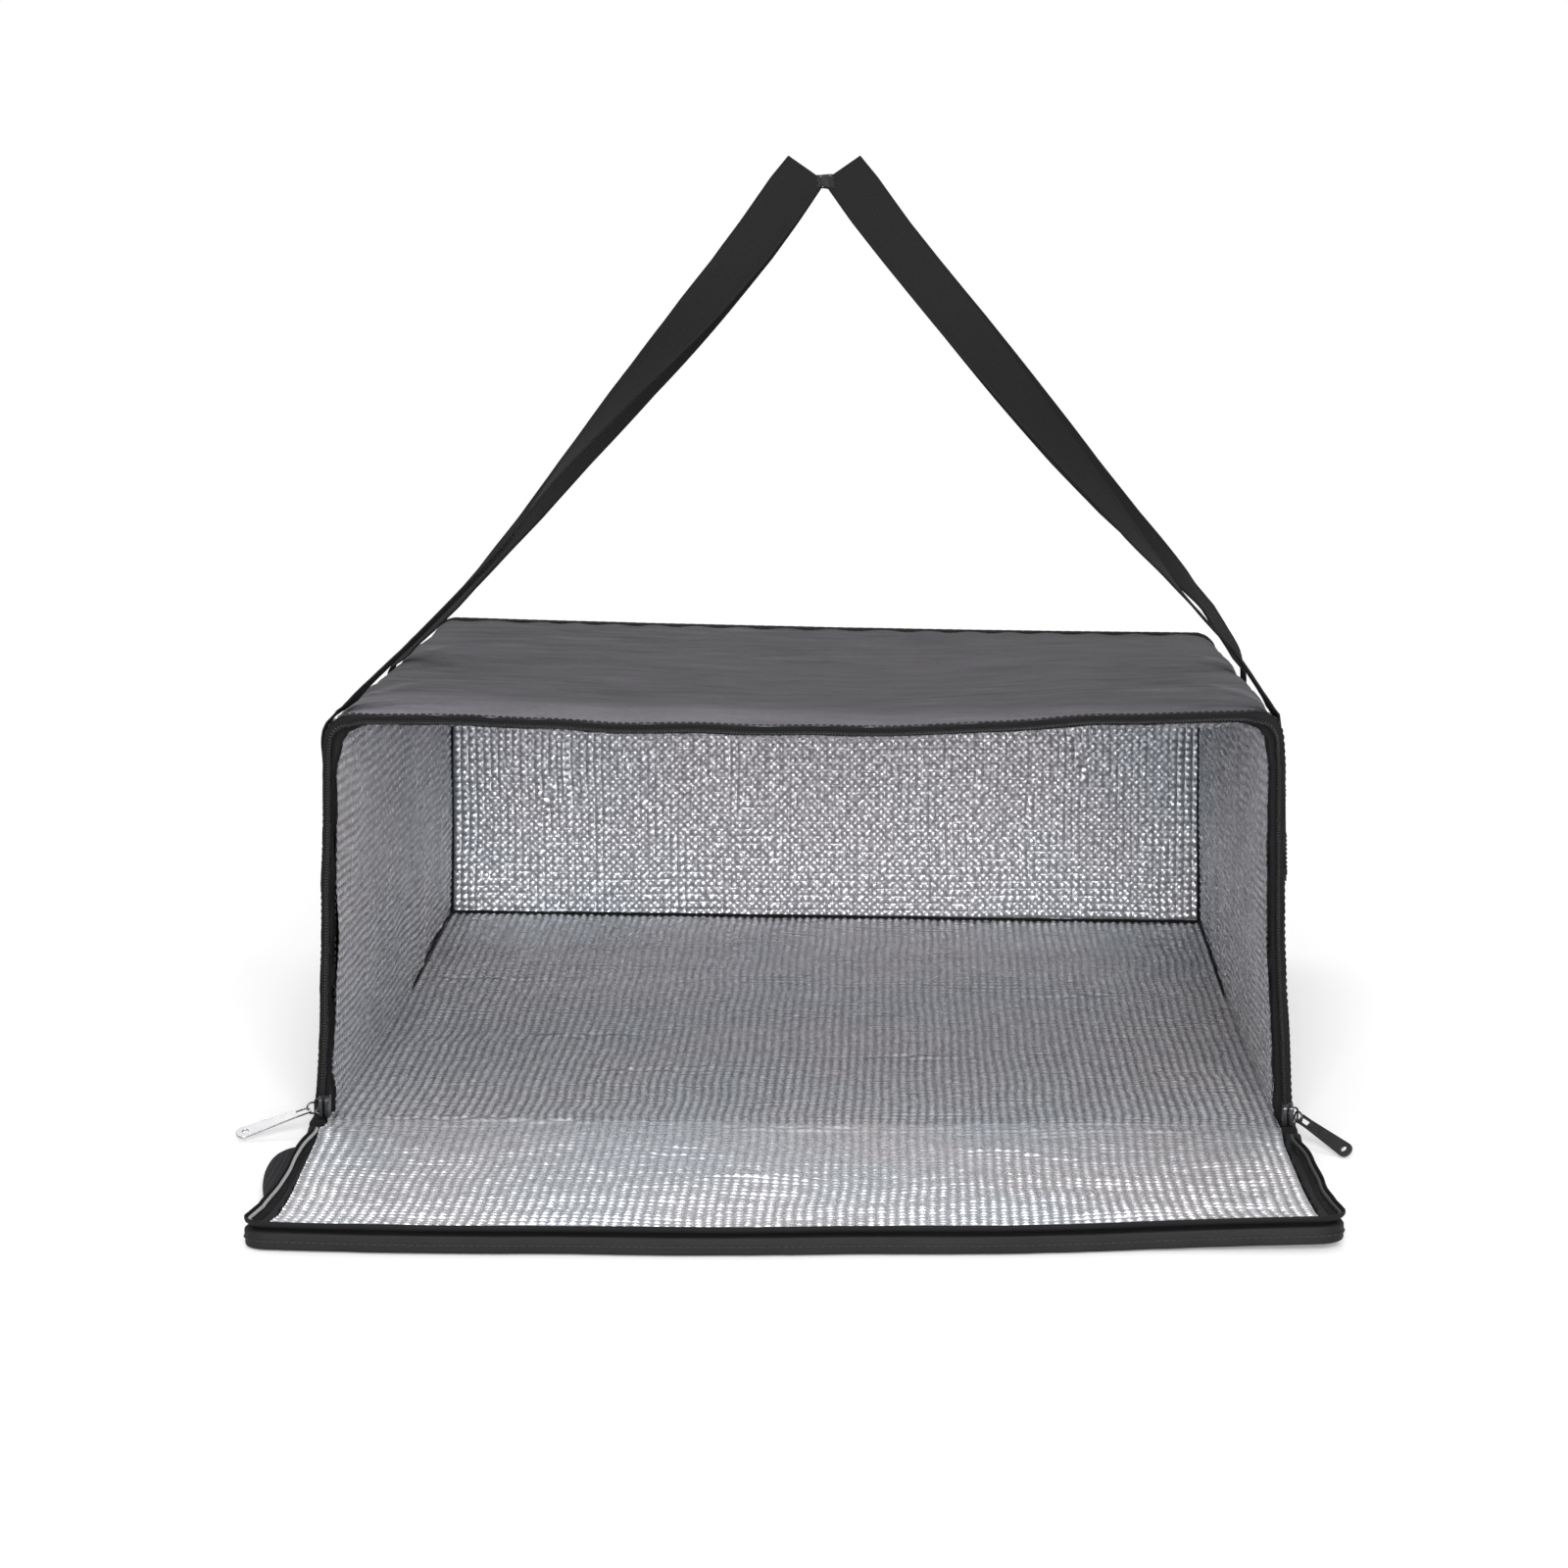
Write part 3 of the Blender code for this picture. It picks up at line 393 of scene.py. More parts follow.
def settle_flap(points):
    """How the flap lies: its rim spreads as measured at the left and right, its front corners lift a
    little, and its front edge bows out, further at the left."""
    x, y, z = points[..., 0], points[..., 1], points[..., 2]
    across = np.clip(x / HALF_WIDTH, -1.05, 1.05)
    along = np.clip((y - FOLD_START_Y) / (FLAP_FRONT_Y - FOLD_START_Y), 0.0, 1.02)
    left = np.interp(y, FLAP_PLACES, FLAP_LEFT_SPREAD)
    right = np.interp(y, FLAP_PLACES, FLAP_RIGHT_SPREAD)
    spread = np.where(x < 0, -left, right) * np.abs(across) ** 5
    skew = (0.0045 * across - np.interp(x, FLAP_ACROSS, FLAP_REACH)) * rise(0.2, 1.0, along)
    wave = 0.0010 * np.sin(11.0 * across + 0.4) * rise(0.55, 1.0, along)
    lift = (0.0005 + 0.0030 * rise(0.55, 1.0, across)) * rise(0.55, 1.0, along)
    return np.stack([x + spread, y + skew + wave, z + lift], -1)


def even_path(corners, step):
    """Points at even spacing along a line through the given corners."""
    length = distances(corners)
    at = np.linspace(0.0, length[-1], max(int(round(length[-1] / step)), 2) + 1)
    return sample(corners, length, at), at


def rim_path(inset, base, step):
    """Way round the mouth: up the left side, over the rounded corners and down the right.

    Returns the places as (x, height), the outward directions and the distances along the way."""
    radius = CORNER_RADIUS - inset
    turn = np.linspace(0.0, math.pi / 2, 13)
    center_x, center_z = HALF_WIDTH - CORNER_RADIUS, HEIGHT - CORNER_RADIUS
    left = np.stack([-center_x - radius * np.cos(turn), center_z + radius * np.sin(turn)], -1)
    right = np.stack([center_x + radius * np.sin(turn), center_z + radius * np.cos(turn)], -1)
    wide = HALF_WIDTH - inset
    places, at = even_path(np.concatenate([[[-wide, base]], left, right, [[wide, base]]]), step)
    along = unit(np.gradient(places, axis=0))
    return places, np.stack([-along[:, 1], along[:, 0]], -1), at


def carry_mouth(places, outward, a, b):
    """A profile carried round the mouth: a is its distance outwards and b its place along Y."""
    x = places[:, None, 0] + outward[:, None, 0] * a
    z = places[:, None, 1] + outward[:, None, 1] * a
    return np.stack(np.broadcast_arrays(x, b, z), -1)


def carry_flap(places, outward, a, b):
    """The same way laid down in front of the mouth: height becomes distance from the fold, and b height."""
    x = places[:, None, 0] + outward[:, None, 0] * a
    y = HINGE_Y + HINGE_Z - places[:, None, 1] - outward[:, None, 1] * a
    return np.stack(np.broadcast_arrays(x, y, b), -1)


def along_rim(carry, places, outward, a, b):
    """One place of a profile carried round: a line of points."""
    return carry(places, outward, np.reshape(a, (-1, 1)), np.array([[b]]))[:, 0]


def make_piece(name, points, uv, material, closed=False, away_from=None):
    """Joins a grid of points into a mesh of quads, with the UV in metres.

    closed joins the last column to the first and closes both ends. Faces point away from away_from,
    or out of a closed piece."""
    rows, columns = points.shape[:2]
    wide = columns if closed else columns - 1
    i, j = (index.ravel() for index in grid(np.arange(rows - 1), np.arange(wide)))
    following = (j + 1) % columns
    corners = np.stack([i * columns + j, i * columns + following, (i + 1) * columns + following,
                        (i + 1) * columns + j], -1)
    marks = np.stack([uv[i, j], uv[i, j + 1], uv[i + 1, j + 1], uv[i + 1, j]], 1)
    flat = points.reshape(-1, 3)
    middle = flat[corners].mean(1)
    normal = np.cross(flat[corners[:, 2]] - flat[corners[:, 0]], flat[corners[:, 3]] - flat[corners[:, 1]])
    center = points.mean(1)[i] if away_from is None else np.asarray(away_from, float)
    turned = ((middle - center) * normal).sum() < 0
    if turned:
        corners, marks = corners[:, ::-1], marks[:, ::-1]
    loops, marks = corners.ravel(), marks.reshape(-1, 2)
    starts = np.arange(0, len(loops), 4)
    if closed:
        first, last = np.arange(columns), (rows - 1) * columns + np.arange(columns)
        first = first if turned else first[::-1]
        last = last[::-1] if turned else last
        starts = np.concatenate([starts, [len(loops), len(loops) + columns]])
        loops = np.concatenate([loops, first, last])
        marks = np.concatenate([marks, np.zeros((2 * columns, 2))])
    return mesh_object(name, flat, loops, starts, marks, material)


def mesh_object(name, points, loops, starts, marks, material):
    """Puts points, face corners and UV marks into a new smooth-shaded mesh object."""
    mesh = bpy.data.meshes.new(name)
    mesh.vertices.add(len(points))
    mesh.vertices.foreach_set("co", np.ascontiguousarray(points, np.float32).ravel())
    mesh.loops.add(len(loops))
    mesh.loops.foreach_set("vertex_index", loops.astype(np.int32))
    mesh.polygons.add(len(starts))
    mesh.polygons.foreach_set("loop_start", starts.astype(np.int32))
    mesh.update(calc_edges=True)
    mesh.uv_layers.new(name="cloth").data.foreach_set("uv", np.ascontiguousarray(marks, np.float32).ravel())
    mesh.validate()
    mesh.polygons.foreach_set("use_smooth", np.ones(len(mesh.polygons), bool))
    mesh.set_sharp_from_angle(angle=math.radians(48))
    mesh.materials.append(material)
    obj = bpy.data.objects.new(name, mesh)
    bpy.context.scene.collection.objects.link(obj)
    return obj


def grid_uv(u, v):
    """UV marks of a grid from the distance along its rows and across its columns."""
    return np.stack(np.broadcast_arrays(u[:, None], v[None, :]), -1).astype(float)


def loop_marks(a, b):
    """Distance round a closed profile, with the first place repeated at the end."""
    return distances(np.stack([np.append(a, a[0]), np.append(b, b[0])], -1))


def round_profile(low_a, high_a, low_b, high_b, radius, steps=4):
    """A closed rectangle with rounded corners, as two arrays."""
    turn = np.linspace(0.0, math.pi / 2, steps + 1)
    centers = ((high_a - radius, high_b - radius), (low_a + radius, high_b - radius),
               (low_a + radius, low_b + radius), (high_a - radius, low_b + radius))
    a = np.concatenate([x + radius * np.cos(turn + k * math.pi / 2) for k, (x, _) in enumerate(centers)])
    b = np.concatenate([y + radius * np.sin(turn + k * math.pi / 2) for k, (_, y) in enumerate(centers)])
    return a, b


def wound_coil(path, first, second, pitch, filament, radius):
    """A filament wound round a path: the middle line circles at the coil's radius once a pitch, and a
    five-sided tube follows it."""
    at = distances(path)
    places = np.linspace(0.0, at[-1], int(at[-1] / pitch) * 9 + 1)
    first, second, path = (sample(line, at, places) for line in (first, second, path))
    angle = 2 * math.pi * places / pitch
    radial = first * np.cos(angle)[:, None] + second * np.sin(angle)[:, None]
    line = path + radial * (radius - filament)
    beside = np.cross(unit(np.gradient(line, axis=0)), radial)
    ring = circle(5)
    tube = line[:, None] + filament * (radial[:, None] * np.cos(ring)[None, :, None]
                                       + beside[:, None] * np.sin(ring)[None, :, None])
    return tube, grid_uv(places, np.linspace(0.0, 0.002, 6))


def stitch_mesh(name, starts, ends, up, radius, material):
    """Stitches: each is a six-sided thread between two holes that bows up by its radius in a half sine."""
    share = np.array([0.0, 0.12, 0.5, 0.88, 1.0])
    size = np.array([0.35, 1.0, 1.1, 1.0, 0.35]) * radius
    ahead = unit(ends - starts)
    side = unit(np.cross(up, ahead))
    top = np.cross(ahead, side)
    middle = starts[:, None] + (ends - starts)[:, None] * share[None, :, None]
    middle = middle + up[:, None] * (radius * np.sin(math.pi * share))[None, :, None]
    ring = circle(6)
    around = side[:, None] * np.cos(ring)[None, :, None] + top[:, None] * np.sin(ring)[None, :, None]
    points = middle[:, :, None] + around[:, None] * size[None, :, None, None]
    count = len(starts)
    i, j = grid(np.arange(4), np.arange(6))
    quad = np.stack([i * 6 + j, i * 6 + (j + 1) % 6, (i + 1) * 6 + (j + 1) % 6, (i + 1) * 6 + j], -1)
    quad = quad.reshape(-1, 4)
    caps = np.array([[5, 4, 3, 2, 1, 0], [24, 25, 26, 27, 28, 29]])
    one = np.concatenate([quad.ravel(), caps.ravel()])
    one_starts = np.concatenate([np.arange(0, 96, 4), [96, 102]])
    loops = (one[None] + 30 * np.arange(count)[:, None]).ravel()
    begin = (one_starts[None] + len(one) * np.arange(count)[:, None]).ravel()
    marks = np.zeros((len(loops), 2))
    return mesh_object(name, points.reshape(-1, 3), loops, begin, marks, material)


def stitch_row(line, up, pitch):
    """Starts, ends and upward directions of stitches at one pitch along a line of points."""
    at = distances(line)
    begin = np.arange(0.0, at[-1] - pitch, pitch)
    return (sample(line, at, begin), sample(line, at, begin + pitch * STITCH_SHARE),
            unit(sample(up, at, begin)))


def shader_group(name, inputs, outputs):
    """A new shader node group with the named sockets, or None if it is there already."""
    if name in bpy.data.node_groups:
        return None
    group = bpy.data.node_groups.new(name, "ShaderNodeTree")
    for way, labels in (("INPUT", inputs), ("OUTPUT", outputs)):
        for label in labels:
            kind = label if label in ("Vector", "Color") else "Float"
            group.interface.new_socket(name=label, in_out=way, socket_type=f"NodeSocket{kind}")
    return group


def calc(tree, operation, first, second=None, third=None):
    """A math node fed by sockets or numbers; returns its output."""
    step = tree.nodes.new("ShaderNodeMath")
    step.operation = operation
    for socket, value in zip(step.inputs, (first, second, third)):
        if isinstance(value, bpy.types.NodeSocket):
            tree.links.new(value, socket)
        elif value is not None:
            socket.default_value = value
    return step.outputs[0]


def times(tree, first, second):
    """The product of two sockets or numbers."""
    return calc(tree, "MULTIPLY", first, second)


def line_of(tree, value, slope, offset):
    """A value times a slope, plus an offset."""
    return calc(tree, "MULTIPLY_ADD", value, slope, offset)


def clamped(tree, value):
    """A value held between 0 and 1."""
    return calc(tree, "MINIMUM", calc(tree, "MAXIMUM", value, 0.0), 1.0)


def bell(tree, off, width):
    """A bell curve: 1 where off is 0, and less by a factor of e where it is as large as the width."""
    part = calc(tree, "DIVIDE", off, width)
    return calc(tree, "POWER", math.e, times(tree, times(tree, part, part), -1.0))


def scaled(tree, vector, factor):
    """A colour or vector times a factor, which is a socket, or three fixed factors."""
    step = tree.nodes.new("ShaderNodeVectorMath")
    tree.links.new(vector, step.inputs[0])
    if isinstance(factor, bpy.types.NodeSocket):
        step.operation = "SCALE"
        tree.links.new(factor, step.inputs["Scale"])
    else:
        step.operation = "MULTIPLY"
        step.inputs[1].default_value = factor
    return step.outputs[0]


def separated(tree, vector):
    """The three parts of a vector."""
    split = tree.nodes.new("ShaderNodeSeparateXYZ")
    tree.links.new(vector, split.inputs[0])
    return split.outputs


def noise(tree, vector, scale, detail):
    """Soft noise of a scale, which is a socket or a number."""
    texture = tree.nodes.new("ShaderNodeTexNoise")
    tree.links.new(vector, texture.inputs["Vector"])
    if isinstance(scale, bpy.types.NodeSocket):
        tree.links.new(scale, texture.inputs["Scale"])
    else:
        texture.inputs["Scale"].default_value = scale
    texture.inputs["Detail"].default_value = detail
    return texture.outputs[0]


def group_ends(group):
    """The sockets inside a group: its inputs, its outputs, and the parts of its first vector."""
    start, end = group.nodes.new("NodeGroupInput"), group.nodes.new("NodeGroupOutput")
    return start.outputs, end.inputs, separated(group, start.outputs[0])


def weave_group():
    """Woven cloth: ribs side by side, each crossed by picks that are shifted from rib to rib."""
    name = "Woven Cloth"
    group = shader_group(name, ("Vector", "Rib Pitch", "Pick Pitch"), ("Height",))
    if group:
        given, out, (x, y, _) = group_ends(group)
        rib, pick = calc(group, "DIVIDE", y, given[1]), calc(group, "DIVIDE", x, given[2])
        crown = calc(group, "ABSOLUTE", calc(group, "SINE", times(group, rib, math.pi)))
        shift = times(group, calc(group, "FLOOR", rib), 0.5)
        phase = times(group, calc(group, "ADD", pick, shift), 2 * math.pi)
        beat = line_of(group, calc(group, "SINE", phase), 0.35, 0.65)
        group.links.new(times(group, crown, beat), out[0])
    return bpy.data.node_groups[name]


def emboss_group():
    """Dimpled foil: a raised cosine along each way of the sheet, multiplied into rows of pillows. Each
    pillow has its own chance from 0 to 1 and its own small tilt."""
    name = "Embossed Dimples"
    group = shader_group(name, ("Vector", "Pitch"), ("Height", "Crown", "Chance", "Tilt"))
    if group:
        given, out, ways = group_ends(group)
        cell, chance = group.nodes.new("ShaderNodeCombineXYZ"), group.nodes.new("ShaderNodeTexWhiteNoise")
        chance.noise_dimensions = "2D"
        group.links.new(cell.outputs[0], chance.inputs["Vector"])
        chances = separated(group, chance.outputs["Color"])
        waves, tilts = [], []
        for axis in (0, 1):
            count = calc(group, "DIVIDE", ways[axis], given[1])
            middle = calc(group, "ROUND", count)
            group.links.new(middle, cell.inputs[axis])
            turn = times(group, count, 2 * math.pi)
            waves.append(line_of(group, calc(group, "COSINE", turn), 0.5, 0.5))
            lean = calc(group, "SUBTRACT", chances[axis], 0.5)
            tilts.append(times(group, calc(group, "SUBTRACT", count, middle), lean))
        product = times(group, waves[0], waves[1])
        results = (calc(group, "POWER", product, 0.60), calc(group, "POWER", product, 2.0), chances[2],
                   calc(group, "ADD", tilts[0], tilts[1]))
        for result, socket in zip(results, out):
            group.links.new(result, socket)
    return bpy.data.node_groups[name]


def mottle_group():
    """Uneven colour: large soft clouds and fine grain darken and lighten one colour."""
    name = "Uneven Colour"
    given = ("Vector", "Color", "Cloud Scale", "Grain Scale", "Amount")
    group = shader_group(name, given, ("Color", "Value"))
    if group:
        given, out, _ = group_ends(group)
        clouds, grain = (noise(group, given[0], scale, 3.0) for scale in given[2:4])
        both = calc(group, "ADD", clouds, grain)
        swing = times(group, calc(group, "SUBTRACT", both, 1.0), given[4])
        group.links.new(scaled(group, given[1], calc(group, "ADD", swing, 1.0)), out[0])
        group.links.new(both, out[1])
    return bpy.data.node_groups[name]


def new_finish(name, roughness, metallic=0.0):
    """A material with a Principled shader and its coordinates node."""
    material = bpy.data.materials.new(name)
    material.use_nodes = True
    tree = material.node_tree
    shader = tree.nodes["Principled BSDF"]
    shader.inputs["Roughness"].default_value = roughness
    shader.inputs["Metallic"].default_value = metallic
    return material, tree, shader, tree.nodes.new("ShaderNodeTexCoord")


def place_group(tree, group, vector, **values):
    """Puts a node group into a material, fed by a vector and fixed values."""
    step = tree.nodes.new("ShaderNodeGroup")
    step.node_tree = group
    tree.links.new(vector, step.inputs["Vector"])
    for label, value in values.items():
        step.inputs[label.replace("_", " ")].default_value = value
    return step


def add_bump(tree, shader, height, strength, distance):
    """Feeds a height into the shader's normal."""
    bump = tree.nodes.new("ShaderNodeBump")
    bump.inputs["Strength"].default_value = strength
    bump.inputs["Distance"].default_value = distance
    tree.links.new(height, bump.inputs["Height"])
    tree.links.new(bump.outputs[0], shader.inputs["Normal"])


def fold_light_and_shade_group():
    """Painted shade and painted highlight of folds in the top that run inwards and back from the straps' roots:
    a bell curve across each line, which fades along it. The top also has painted light and shade of streaky
    wrinkles, and a painted highlight where it rolls over the front edge, most at the left."""
    name = "Root Folds"
    group = shader_group(name, ("Vector",), ("Value",))
    if group:
        given, out, (x, y, z) = group_ends(group)
        inwards = calc(group, "SUBTRACT", FOLD_EDGE_X, calc(group, "ABSOLUTE", x))
        # Painted highlight where the top rolls over the front edge, stronger at the left.
        rolled = bell(group, calc(group, "ADD", y, -ROLL_HIGHLIGHT_Y), 0.050)
        side = line_of(group, x, -2.2, 0.75)
        top = clamped(group, line_of(group, z, 60.0, -12.3))
        # Painted light and shade of the top's streaky wrinkles.
        streak_shading = noise(group, scaled(group, given[0], (1.0, 3.5, 0.0)), 22.0, 3.0)
        swing = times(group, calc(group, "SUBTRACT", streak_shading, 0.5), times(group, top, 1.1))
        level = line_of(group, times(group, rolled, top), side, 0.84)
        painted_light = calc(group, "ADD", swing, level)
        # Each fold multiplies in painted shade where its tone is below 0 and a painted highlight where it is
        # above.
        for first, back_y, turn, long, wide, tone in ROOT_FOLD_SHADING:
            beside, back = calc(group, "SUBTRACT", inwards, first), calc(group, "SUBTRACT", y, back_y)
            c, s = math.cos(math.radians(turn)), math.sin(math.radians(turn))
            along = line_of(group, beside, c, times(group, back, s))
            off = line_of(group, beside, -s, times(group, back, c))
            share = calc(group, "DIVIDE", along, long)
            begin = clamped(group, times(group, share, 9.0))
            left_over = calc(group, "MAXIMUM", calc(group, "SUBTRACT", 1.0, share), 0.0)
            painted_fade = times(group, begin, left_over)
            shape = times(group, bell(group, off, wide), painted_fade)
            strength = times(group, shape, times(group, top, tone))
            painted_light = times(group, painted_light, calc(group, "ADD", strength, 1.0))
        group.links.new(painted_light, out[0])
    return bpy.data.node_groups[name]


def cloth_finish(name):
    """Woven cloth on the piece's own UV: its crowns carry a painted highlight and the hollows between them
    painted shade, and its colour and gloss are uneven. The outer cloth also has the painted shade and highlight
    of the folds at the straps' roots, of its front roll and of its streaky wrinkles."""
    if name in bpy.data.materials:
        return bpy.data.materials[name]
    setting, multiple, roughness, rib, pick, depth, uneven, cloud_scale, grain_scale, drawn = CLOTHS[name]
    color = [multiple * part for part in getattr(bpy.context.scene.delivery_bag_cloth, setting)]
    material, tree, shader, places = new_finish(name, roughness)
    shader.inputs["Specular IOR Level"].default_value = 0.17
    weave = place_group(tree, weave_group(), places.outputs["UV"], Rib_Pitch=rib, Pick_Pitch=pick)
    tone = place_group(tree, mottle_group(), scaled(tree, places.outputs["Object"], (1.0, drawn, drawn)),
                       Color=(*color, 1.0), Cloud_Scale=cloud_scale, Grain_Scale=grain_scale, Amount=uneven)
    # Paler weave crowns and darker hollows: painted highlight and painted shade on the threads.
    bright = line_of(tree, weave.outputs[0], 0.5, 0.72)
    # On the outer cloth the colour is multiplied by the painted shade and highlight of the root folds, the
    # front roll and the streaky wrinkles.
    if name == "charcoal_cloth":
        folds = place_group(tree, fold_light_and_shade_group(), places.outputs["Object"])
        bright = times(tree, bright, folds.outputs[0])
    tree.links.new(scaled(tree, tone.outputs["Color"], bright), shader.inputs["Base Color"])
    dull = line_of(tree, tone.outputs["Value"], 0.10, roughness - 0.10)
    tree.links.new(dull, shader.inputs["Roughness"])
    add_bump(tree, shader, weave.outputs[0], 0.6, depth)
    return material


def foil_finish(panel):
    """Metallised film: dimples from the UV, with painted highlight on their crowns, painted shade between them
    and painted glints on some crowns, and faint bluish clouds of tarnish. Each panel has its own painted shade
    level, may have painted light towards the mouth or, along a parabola, towards its middle, and the flap's is
    pressed flatter."""
    foil = bpy.context.scene.delivery_bag_foil
    # Each panel's tone is a painted shade level of one and the same foil.
    tone, low, crown_highlight, relief, front, middle = FOIL_PANEL_SHADING[panel]
    material, tree, shader, places = new_finish(f"{panel}_foil", 0.30, 0.65)
    where = places.outputs["Object"]
    emboss = place_group(tree, emboss_group(), places.outputs["UV"], Pitch=foil.pitch)
    tint = tree.nodes.new("ShaderNodeMix")
    tint.data_type = "RGBA"
    for side, shares in (("A", (0.970, 1.00, 1.025)), ("B", (1.020, 0.985, 0.985))):
        color = [tone * part * share for part, share in zip(foil.color, shares)]
        tint.inputs[side].default_value = (*color, 1.0)
    tree.links.new(line_of(tree, noise(tree, where, 6.5, 2.0), 4.0, -1.5), tint.inputs["Factor"])
    cloudy = place_group(tree, mottle_group(), where, Cloud_Scale=7.0, Grain_Scale=160.0, Amount=0.16)
    tree.links.new(tint.outputs["Result"], cloudy.inputs["Color"])
    # Random crowns get a painted glint in the colour, and a lower roughness.
    glint_and_gloss = times(tree, emboss.outputs["Crown"], calc(tree, "SUBTRACT", emboss.outputs["Chance"], 0.40))
    # Painted shade between the dimples and painted highlight on their crowns.
    level = line_of(tree, emboss.outputs["Height"], crown_highlight, low)
    x, y, _ = separated(tree, where)
    # Painted light towards the mouth.
    near = clamped(tree, line_of(tree, y, -6.0, -0.55))
    mouth_light = line_of(tree, near, front, 1.0)
    level = times(tree, line_of(tree, glint_and_gloss, 0.45, level), mouth_light)
    # Painted highlight along a parabola towards the panel's middle.
    off = calc(tree, "ADD", x, 0.03)
    middle_highlight = line_of(tree, times(tree, off, off), -20.0 * middle, 1.0 + middle)
    bright = calc(tree, "MINIMUM", times(tree, level, middle_highlight), 1.08)
    tree.links.new(scaled(tree, cloudy.outputs["Color"], bright), shader.inputs["Base Color"])
    tree.links.new(line_of(tree, glint_and_gloss, -0.22, 0.27), shader.inputs["Roughness"])
    height = line_of(tree, noise(tree, where, 420.0, 2.0), 0.50, emboss.outputs["Height"])
    height = line_of(tree, emboss.outputs["Tilt"], 1.6, height)
    add_bump(tree, shader, height, relief, 0.0010)
    return material


def hard_finish(name, color, roughness, metallic, coat=0.0, painted_fade=0.0):
    """Enamel, metal or nylon with fine grain and slightly worn, uneven gloss. It may carry painted shade that
    darkens it from left to right by its slope in each metre."""
    if name in bpy.data.materials:
        return bpy.data.materials[name]
    material, tree, shader, places = new_finish(name, roughness, metallic)
    where = places.outputs["Object"]
    tone = place_group(tree, mottle_group(), where, Color=(*color, 1.0), Cloud_Scale=180.0,
                       Grain_Scale=2600.0, Amount=0.22)
    shown = tone.outputs["Color"]
    # Painted shade: the colour darkens from left to right.
    if painted_fade:
        shown = scaled(tree, shown, line_of(tree, separated(tree, where)[0], -painted_fade, 0.5))
    tree.links.new(shown, shader.inputs["Base Color"])
    worn = line_of(tree, tone.outputs["Value"], 0.16, roughness - 0.16)
    tree.links.new(worn, shader.inputs["Roughness"])
    add_bump(tree, shader, tone.outputs["Value"], 0.08, 0.0002)
    shader.inputs["Coat Weight"].default_value = coat
    return material


def fit_out(obj, slot, body, *nodes):
    """Lets a piece ride on its body and take the place of CAD nodes. Its slot is not used."""
    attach(obj, body)
    if nodes:
        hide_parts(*nodes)


def bend_out(obj, slot, a, b, start, end, *nodes):
    """Bakes a piece's place into its mesh and lets it take the place of CAD nodes. Its slot, bodies and bend
    line are not used.
    """
    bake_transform(obj)
    if nodes:
        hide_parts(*nodes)


def add_tape(name, points, at, a, b, cloth, body, *nodes):
    """A closed tape of woven cloth: each row of points goes round one profile."""
    tape = make_piece(name, points, grid_uv(at, loop_marks(a, b)), cloth_finish(cloth), closed=True)
    fit_out(tape, "binding", body, *nodes)


def add_coil(name, path, outward, forward, radius, finish, body, node):
    """The teeth of a zip along a path."""
    teeth = bpy.context.scene.delivery_bag_zip
    tube, marks = wound_coil(path, outward, forward, teeth.tooth_pitch, teeth.filament, radius)
    fit_out(make_piece(name, tube, marks, finish, closed=True), "coil", body, node)


def cover_sheet(name, points, u, v, away_from):
    """A panel of outer cloth."""
    return make_piece(name, points, np.stack([u, v], -1), cloth_finish("charcoal_cloth"),
                      away_from=away_from)


def foil_sheet(panel, points, u, v, away_from):
    """A panel of dimpled foil."""
    return make_piece(f"{panel}_lining", points, np.stack([u, v], -1), foil_finish(panel),
                      away_from=away_from)


def sew(name, starts, ends, up, radius, body, *nodes):
    """Stitches between pairs of holes, as one piece of thread."""
    fit_out(stitch_mesh(name, starts, ends, up, radius, cloth_finish("thread")), "thread", body, *nodes)


def sew_round(name, way, carry, lay, a, b, pitch, radius, body, side=1.0):
    """A row of stitches all the way round a rim, at one place of its profile, on its outer or inner side."""
    places, outward, _ = way
    line, far = (along_rim(carry, places, outward, off, b) for off in (a, a + side))
    sew(name, *stitch_row(lay(line), far - line, pitch), radius, body)


def shell_relief(along, y, at_length):
    """Wrinkles of the outer cloth: long shallow clouds across the bag, puckers along the front tape and
    the rear seam, a roll behind the front tape, and creases that run out from the straps' roots."""
    cloth = bpy.context.scene.delivery_bag_cloth
    across = along - at_length / 2
    relief = 0.4 + 0.8 * cloud(across, y, 0.085, 0.030, 3) + 0.25 * cloud(across, y, 0.030, 0.014, 5)
    relief = relief + 0.8 * cloud(across, y, 0.200, 0.110, 8) + 0.12 * cloud(across, y, 0.045, 0.009, 9)
    edge = np.minimum(y - FRONT_Y, BACK_Y - y)
    pucker = np.sin(across / 0.0046 + 1.5 * cloud(across, y, 0.05, 0.05, 12)) * np.exp(-edge / 0.012)
    top = HALF_WIDTH - 0.006
    for side in (-1, 1):
        for _, root_y, _ in STRAPS:
            for reach, turn, deep in ROOT_CREASES:
                start = (side * top, root_y + 0.3 * turn)
                end = (side * (top - reach), root_y + turn)
                relief = relief - deep * fold_line(across, y, start, end, 0.0042)
                relief = relief + 0.6 * deep * fold_line(across, y + 0.009, start, end, 0.0060)
    height = np.minimum(along, at_length - along)
    for _, root_y, _ in STRAPS:
        under = rise(0.105, 0.135, height) * (1 - rise(0.215, 0.240, height))
        under = under * (1 - rise(0.015, 0.030, np.abs(y - root_y)))
        relief = relief * (1 - under) - 0.3 * under
    from_front = y - FRONT_Y
    swell = rise(0.002, 0.026, from_front) - rise(0.026, 0.200, from_front)
    swell = swell * rise(0.0, 0.03, top - np.abs(across))
    return cloth.wrinkle * (relief * rise(0.0, 0.02, edge) + 0.45 * pucker + 2.0 * swell)


